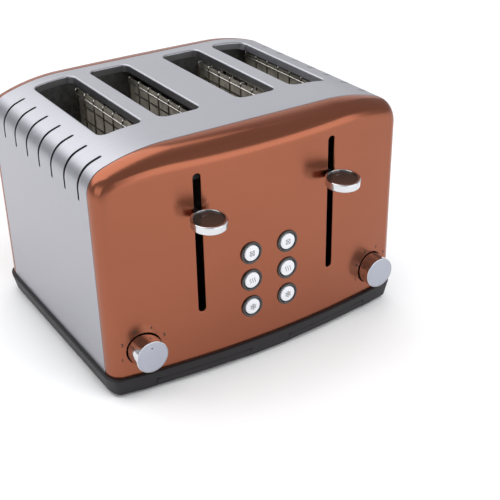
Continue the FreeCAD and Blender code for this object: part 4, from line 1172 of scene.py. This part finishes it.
class TOASTER_OT_buttons(bpy.types.Operator):
    """Makes the six button caps with their symbols, and the dark rings round them"""
    bl_idname = "toaster.buttons"
    bl_label = "Buttons"

    def execute(self, context):
        for side in SIDES:
            for name in BUTTONS:
                self.cap("%s_%s" % (name, side), name)
        self.bezels()
        return {"FINISHED"}

    def cap(self, key, name):
        """A crowned cap with its symbol printed on it."""
        node_name = "button_" + key
        lowest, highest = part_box(node_name)
        centre, radius, reach = middle(node_name), half_width(node_name), highest.y - lowest.y
        edge, crown = 0.7 * MM, 0.25 * MM
        profile = [(0, 0), (radius, 0)] + arc(radius - edge, reach - crown - edge, edge, 0, 75)
        profile += [(radius * share, reach - crown * max(0, share - 0.6) / 0.4)
                    for share in (0.8, 0.6, 0.3, 0)]
        back = (centre.x, highest.y, centre.z)
        cap = lathe("cap_" + key, profile, back, FORWARDS, "cap_plastic", 64)

        def place(across, up, height):
            return centre.x + across, lowest.y + 0.02 * MM - height, centre.z + up

        mark = strokes("symbol_" + key, self.symbol(name), 0.55 * MM, 0.06 * MM, place, "cap_print")
        settle(joined("cap_" + key, [cap, mark]), key, "cap_plastic", node_name)

    def symbol(self, name):
        """Lines of a stop square, of rising heat or of a snowflake."""
        if name == "cancel":
            size = 2.0 * MM
            a, b, c, d = (-size, -size), (size, -size), (size, size), (-size, size)
            return [[a, b, c, d, a], [a, c], [d, b]]
        if name == "reheat":
            return [[(column * 2.2 * MM + 0.5 * MM * math.sin(share * 2 * math.pi), (share - 0.5) * 4.6 * MM)
                     for share in (step / 10 for step in range(11))] for column in (-1, 0, 1)]
        lines = []
        for angle in (math.radians(30 + 60 * arm) for arm in range(6)):
            along = Vector((math.cos(angle), math.sin(angle)))
            lines.append([along * 0.1 * MM, along * 3.0 * MM])
            for turn in (-0.7, 0.7):
                branch = Vector((math.cos(angle + turn), math.sin(angle + turn)))
                lines.append([along * 1.7 * MM, along * 1.7 * MM + branch * 1.1 * MM])
        return lines

    def bezels(self):
        """One dark ring, repeated for the six buttons."""
        lowest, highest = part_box("button_bezels")
        first = middle("button_defrost_left")
        pitch = middle("button_reheat_left").z - first.z
        span = middle("button_defrost_right").x - first.x
        flange, reach = first.x - lowest.x, highest.y - lowest.y
        panel = highest.y - float(bow_y(first.x)) + 0.02 * MM
        bore, barrel, edge = 7.3 * MM, 9.2 * MM, 0.75 * MM
        profile = [(bore, 0), (barrel, 0), (barrel, panel), (flange, panel)]
        profile += arc(flange - edge, reach - edge, edge, 0, 90)
        profile += [(8.6 * MM, reach - 0.1 * MM), (8.1 * MM, reach - 0.5 * MM),
                    (7.7 * MM, reach - 0.9 * MM), (bore, reach - 1.5 * MM), (bore, 0)]
        back = (first.x, highest.y, first.z)
        ring = lathe("button_rings", profile, back, FORWARDS, "black_gloss", 64)
        repeated(ring, shape_rows, "black_gloss", Count=2, Step=(span, 0, 0), Rows=3, Row_Step=(0, 0, pitch))
        settle(ring, "housing", "black_gloss", "button_bezels")


DIGIT_HEIGHT = 1.6
DIGITS = {
    1: ((0.20, 1.20), (0.55, 1.60), (0.55, 0.00)),
    2: ((0.05, 1.25), (0.20, 1.52), (0.50, 1.60), (0.80, 1.50), (0.93, 1.20), (0.80, 0.85), (0.05, 0.00),
        (0.95, 0.00)),
    3: ((0.10, 1.60), (0.90, 1.60), (0.45, 0.98), (0.80, 0.85), (0.95, 0.50), (0.80, 0.12), (0.45, 0.00),
        (0.08, 0.15)),
    4: ((0.72, 0.00), (0.72, 1.60), (0.05, 0.45), (0.98, 0.45)),
    5: ((0.88, 1.60), (0.20, 1.60), (0.12, 0.88), (0.50, 1.00), (0.85, 0.82), (0.95, 0.50), (0.80, 0.12),
        (0.45, 0.00), (0.08, 0.15)),
    6: ((0.80, 1.58), (0.40, 1.30), (0.12, 0.75), (0.12, 0.40), (0.30, 0.08), (0.60, 0.00), (0.88, 0.15),
        (0.95, 0.48), (0.80, 0.80), (0.50, 0.90), (0.20, 0.72)),
}


class TOASTER_OT_dials(bpy.types.Operator):
    """Makes the two browning dials and the numbers printed round them"""
    bl_idname = "toaster.dials"
    bl_label = "Dials"

    def execute(self, context):
        settings = context.scene.toaster_controls
        for side in SIDES:
            knob = "dial_knob_" + side
            lowest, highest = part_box(knob)
            centre, radius, reach = middle(knob), half_width(knob), highest.y - lowest.y
            back = (centre.x, highest.y, centre.z)
            sink, edge, neck, gap = 1.1 * MM, 0.5 * MM, 4 * MM, 0.05 * MM
            disc, skirt, web = radius - edge - gap, reach - 19.5 * MM, reach - 3 * MM
            profile = [(0, 0), (neck, 0), (neck, web), (radius - 1 * MM, web), (radius - 1 * MM, skirt),
                       (radius, skirt), *arc(radius - edge, reach - edge, edge, 0, 90),
                       (disc + gap, reach - sink), (0, reach - sink)]
            piece = lathe("dial_skirt_" + side, profile, back, FORWARDS, "chrome", 96)
            settle(piece, "dial_" + side, "chrome", knob)
            profile = [(0, reach - sink), (disc, reach - sink)]
            profile += arc(disc - 0.2 * MM, reach - 0.3 * MM, 0.2 * MM, 0, 80, 3)
            profile += [(disc * share, reach - gap) for share in (0.8, 0.4, 0)]
            plate = lathe("dial_plate_" + side, profile, back, FORWARDS, "dial_satin", 96)
            if side == "left":
                size, lift = 0.75 * MM, 0.06 * MM
                spot = (centre.x, lowest.y + 0.07 * MM, centre.z + 8.3 * MM)
                dot = lathe("dial_dot", [(0, 0), (size, 0), (size, lift), (0, lift)], spot, FORWARDS,
                            "print", 24)
                plate = joined(plate.name, [plate, dot])
            settle(plate, "dial_" + side, "dial_satin", "dial_face_" + side)
            settle(self.numbers(settings, side, centre), "housing", "copper_steel")
        return {"FINISHED"}

    def numbers(self, settings, side, centre):
        """The numbers one to six, clockwise from the lower left."""
        size = settings.number_height / DIGIT_HEIGHT
        lines = []
        for number, digit in DIGITS.items():
            angle = settings.number_start - (number - 1) * settings.number_step
            x = centre.x + settings.number_radius * math.cos(angle)
            z = centre.z + settings.number_radius * math.sin(angle)
            lines.append([(x + (across - 0.5) * size, z + (up - DIGIT_HEIGHT / 2) * size)
                          for across, up in digit])

        def place(x, z, height):
            return x, float(bow_y(x)) - 0.01 * MM - height, z

        return strokes("dial_numbers_" + side, lines, 0.75 * MM, 0.05 * MM, place, "print")


class TOASTER_OT_underside(bpy.types.Operator):
    """Makes the rubber feet, the base's screws and the cord inlet"""
    bl_idname = "toaster.underside"
    bl_label = "Underside"

    def execute(self, context):
        radius = 9 * MM
        tall = high("feet").z - low("feet").z
        profile = [(0, 0.5 * MM), (5 * MM, 0.5 * MM), (5.6 * MM, 0)]
        profile += arc(7.6 * MM, 0.5 * MM, 0.5 * MM, -90, 0)
        profile += [(radius, tall - 0.2 * MM), (radius - 0.2 * MM, tall), (0, tall)]
        self.spread("rubber_feet", "feet", profile, radius, 2, "rubber", "rubber", 48)
        head = SCREW_HEAD
        tall = high("base_screws").z - low("base_screws").z
        profile = [(0, 0.9 * MM), (1.2 * MM, 0.8 * MM), (1.4 * MM, 0.1 * MM), (1.6 * MM, 0)]
        profile += arc(head - 0.6 * MM, 0.6 * MM, 0.6 * MM, -90, 0)
        profile += [(head, 1.6 * MM), (1.5 * MM, 1.6 * MM), (1.5 * MM, tall), (0, tall)]
        self.spread("base_fixings", "base_screws", profile, head, 3, "zinc_steel", "zinc_steel", 32)
        inlet = middle("cord_inlet")
        barrel, bore, flange, reach = 5.5 * MM, 3.6 * MM, 6.5 * MM, 11.2 * MM
        profile = [(0, 0), (barrel, 0), (barrel, reach - 2 * MM), (flange, reach - 2 * MM)]
        profile += arc(flange - 0.9 * MM, reach - 0.9 * MM, 0.9 * MM, 0, 90)
        # The bore stops 1 mm in at a closed black disc: a dark sheet in place of the shade down a hole
        # through the base, so painted shade.
        profile += arc(bore + 0.7 * MM, reach - 0.7 * MM, 0.7 * MM, 90, 180) + [(bore, 1 * MM), (0, 1 * MM)]
        start = (inlet.x, low("cord_inlet").y, inlet.z)
        grommet = lathe("cord_grommet", profile, start, (0, 1, 0), "black_plastic", 48)
        settle(grommet, "housing", "black_plastic", "cord_inlet")
        return {"FINISHED"}

    def spread(self, name, node_name, profile, radius, count, material, slot, steps):
        """One turned shape in two rows from corner to corner of the CAD node that it replaces."""
        lowest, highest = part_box(node_name)
        span = highest - lowest
        start = (lowest.x + radius, lowest.y + radius, lowest.z)
        piece = lathe(name, profile, start, UPWARDS, material, steps)
        repeated(piece, shape_rows, material, Count=count, Step=((span.x - 2 * radius) / (count - 1), 0, 0),
                 Rows=2, Row_Step=(0, span.y - 2 * radius, 0))
        settle(piece, "housing", slot, node_name)


class TOASTER_OT_bread_guides(bpy.types.Operator):
    """Makes the eight wire bread guides, each with hooked uprights between two long wires"""
    bl_idname = "toaster.bread_guides"
    bl_label = "Bread guides"

    def execute(self, context):
        settings = context.scene.toaster_wire
        wire, hook, margin = settings.guide_wire, 1.7 * MM, 2 * MM
        start, stop = SLOT_ENDS[0] + 1.1 * MM, SLOT_ENDS[1] - 0.9 * MM
        first, pitch = start + margin, (stop - start - 2 * margin) / (settings.guide_bars - 1)
        row = {"Count": settings.guide_bars, "Step": (0, pitch, 0)}
        for number in range(1, 9):
            guide = "bread_guide_%d" % number
            lowest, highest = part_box(guide)
            x, foot, top = (lowest.x + highest.x) / 2, lowest.z + wire / 2, highest.z - wire / 2
            outwards = -1 if number % 2 else 1
            bend_z = top - hook
            rail_z = bend_z - 3 * MM
            curl = [(x + outwards * hook * (1 - math.cos(angle)), first, bend_z + hook * math.sin(angle))
                    for angle in np.radians((0, 30, 60, 90, 120, 150))]
            upright, rail = [(x, first, foot), (x, first, bend_z)], [(x, start, rail_z), (x, stop, rail_z)]
            pivot = [(x, lowest.y, foot), (x, highest.y, foot)]
            parts = [wires(guide + "_uprights", upright, "guide_wire", wire - 0.3 * MM, **row),
                     wires(guide + "_hooks", curl, "pale_wire", wire - 0.3 * MM, **row),
                     wires(guide + "_rail", rail, "pale_wire", wire),
                     wires(guide + "_pivot", pivot, "guide_wire", wire)]
            settle(joined("wire_guide_%d" % number, parts), "guide_%d" % number, "guide_wire", guide)
        return {"FINISHED"}


class TOASTER_OT_heaters(bpy.types.Operator):
    """Makes the heater ribbon wound round the six boards"""
    bl_idname = "toaster.heaters"
    bl_label = "Heater ribbon"

    def execute(self, context):
        turns = context.scene.toaster_wire.ribbon_turns
        lowest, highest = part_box("heater_windings")
        boards = [middle("heater_board_%d" % number).x for number in (1, 3, 4)]
        x, gap, width = boards[0], 0.45 * MM, 1.6 * MM
        front, rear, z = lowest.y, highest.y, lowest.z + width / 2
        loop = [(x - gap, front + gap, z), (x - gap, rear - gap, z), (x, rear, z),
                (x + gap, rear - gap, z), (x + gap, front + gap, z), (x, front, z)]
        pitch = (highest.z - lowest.z - width) / (turns - 1)
        ribbon = wires("heater_ribbon", loop, "heater_ribbon", width, 0.3 * MM, closed=True, Count=turns,
                       Step=(0, 0, pitch), Rows=3, Row_Step=((boards[1] - x) / 2, 0, 0))
        repeated(ribbon, shape_rows, "heater_ribbon", 50, Count=2, Step=(boards[2] - x, 0, 0))
        settle(ribbon, "housing", "heater_ribbon", "heater_windings")
        return {"FINISHED"}


KEPT_NODES = {
    "zinc_steel": ("carriage_left", "carriage_right", "bread_rack_left", "bread_rack_right", "front_bulkhead",
                   "rear_bulkhead", "centre_divider", "side_shield_left", "side_shield_right", "guide_rods"),
    "mica": tuple("heater_board_%d" % number for number in range(1, 7)),
    "spring_steel": ("lift_spring_left", "lift_spring_right"),
    "coil_copper": ("electromagnet_left", "electromagnet_right"),
    "black_plastic": ("button_switches", "potentiometers", "dial_collars"),
    "circuit_board": ("control_board",),
}


class TOASTER_OT_inside(bpy.types.Operator):
    """Gives the parts kept from the frame their materials"""
    bl_idname = "toaster.inside"
    bl_label = "Inside"

    def execute(self, context):
        for material, names in KEPT_NODES.items():
            for name in names:
                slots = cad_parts[name].material_slots
                if not slots:
                    raise RuntimeError(name + " has no material slot")
                for place in slots:
                    place.material = materials()[material]
        return {"FINISHED"}


# ------------------------------------------------------------ the stage

# Each light's name, place and aim in metres, its size, its power and whether metal mirrors it.
LIGHTS = (
    ("top_softbox", (-0.6, 0.9, 1.8), (0, 0, 0.1), (2.8, 2.8), 42, True),
    ("front_fill", (0.4, -1.2, 1.7), (0, -0.2, 0), (1.6, 1.6), 24, False),
    ("left_softbox", (-1.7, -0.5, 0.6), (0, 0, 0.1), (1.2, 0.7), 3, True),
    ("front_softbox", (0.9, -2.0, 0.72), (0, 0, 0.15), (2.4, 1.6), 18, True),
    ("back_softbox", (1.3, 2.0, 1.25), (0, 0, 0.1), (2.6, 1.8), 8, True),
)
CAMERA_AIM = (-11.05 * MM, CREASE_Y, 99.05 * MM)
CAMERA_TURN = (math.radians(-32.65), math.radians(29.10), math.radians(-1.05))
CAMERA_DISTANCE, CAMERA_LENS, CAMERA_SENSOR = 830.6 * MM, 72.09, 36


class TOASTER_OT_stage(bpy.types.Operator):
    """Makes the pale floor, the soft lights and the camera"""
    bl_idname = "toaster.stage"
    bl_label = "Stage"

    def execute(self, context):
        scene = context.scene
        self.floor()
        for row in LIGHTS:
            self.light(*row)
        world = bpy.data.worlds.new("studio")
        world.use_nodes = True
        backdrop = world.node_tree.nodes["Background"].inputs
        backdrop["Color"].default_value, backdrop["Strength"].default_value = (0.95, 0.96, 1.0, 1), 0.5
        scene.world = world
        scene.view_settings.view_transform = "Standard"
        self.camera(scene)
        return {"FINISHED"}

    def floor(self):
        """A square floor just under the feet."""
        mesh = bpy.data.meshes.new("floor")
        reach, level = 6, -0.1 * MM
        corners = ((-reach, -reach), (reach, -reach), (reach, reach), (-reach, reach))
        mesh.from_pydata([(x, y, level) for x, y in corners], [], [(0, 1, 2, 3)])
        mesh.materials.append(finish_material(
            "pale_floor", ((0.84, 0.84, 0.84), (0.86, 0.86, 0.86)), (0.65, 0.75), (30.0, 2.0)))
        new_piece(mesh)

    def light(self, name, place, aim, size, power, mirrored):
        """A soft rectangular light."""
        lamp = bpy.data.lights.new(name, "AREA")
        lamp.shape = "RECTANGLE"
        lamp.size, lamp.size_y = size
        lamp.energy = power
        item = bpy.data.objects.new(name, lamp)
        item.location = place
        item.visible_glossy = mirrored
        item.rotation_euler = (Vector(aim) - Vector(place)).to_track_quat("-Z", "Y").to_euler()
        bpy.context.scene.collection.objects.link(item)

    def camera(self, scene):
        """A camera in front of the toaster, to its left and above it."""
        data = bpy.data.cameras.new("camera")
        data.lens, data.sensor_width = CAMERA_LENS, CAMERA_SENSOR
        data.clip_start, data.clip_end = 0.01, 50
        azimuth, elevation, roll = CAMERA_TURN
        back = Vector((math.sin(azimuth) * math.cos(elevation), -math.cos(azimuth) * math.cos(elevation),
                       math.sin(elevation)))
        camera = bpy.data.objects.new("camera", data)
        camera.location = Vector(CAMERA_AIM) + back * CAMERA_DISTANCE
        camera.rotation_mode = "QUATERNION"
        turn = (-back).to_track_quat("-Z", "Y")
        camera.rotation_quaternion = turn @ Matrix.Rotation(roll, 3, "Z").to_quaternion()
        scene.collection.objects.link(camera)
        scene.camera = camera


STEPS = (TOASTER_OT_front_panel, TOASTER_OT_rear_panel, TOASTER_OT_wrap, TOASTER_OT_base,
         TOASTER_OT_crumb_trays, TOASTER_OT_levers, TOASTER_OT_buttons, TOASTER_OT_dials,
         TOASTER_OT_underside, TOASTER_OT_bread_guides, TOASTER_OT_heaters, TOASTER_OT_inside,
         TOASTER_OT_stage)
GROUP_NAMES = {"toaster_case": ToasterCaseSettings, "toaster_base": ToasterBaseSettings,
               "toaster_controls": ToasterControlSettings, "toaster_wire": ToasterWireSettings,
               "toaster_finish": ToasterFinishSettings}


class TOASTER_PT_panel(bpy.types.Panel):
    """Lists the toaster's pieces"""
    bl_idname = "TOASTER_PT_panel"
    bl_label = "Pop Up Toaster"
    bl_space_type = "VIEW_3D"
    bl_region_type = "UI"
    bl_category = "Toaster"

    def draw(self, context):
        for group in GROUP_NAMES:
            box = self.layout.box()
            settings = getattr(context.scene, group)
            for name in settings.__annotations__:
                box.prop(settings, name)
        for step in STEPS:
            self.layout.operator(step.bl_idname)


def register():
    for item in (*GROUP_NAMES.values(), *STEPS, TOASTER_PT_panel):
        bpy.utils.register_class(item)
    for name, group in GROUP_NAMES.items():
        setattr(bpy.types.Scene, name, PointerProperty(type=group))


def unregister():
    for name in GROUP_NAMES:
        delattr(bpy.types.Scene, name)
    for item in (TOASTER_PT_panel, *reversed(STEPS), *reversed(tuple(GROUP_NAMES.values()))):
        bpy.utils.unregister_class(item)


def main():
    register()
    for step in STEPS:
        category, name = step.bl_idname.split(".")
        getattr(getattr(bpy.ops, category), name)()


if __name__ == "__main__":
    main()
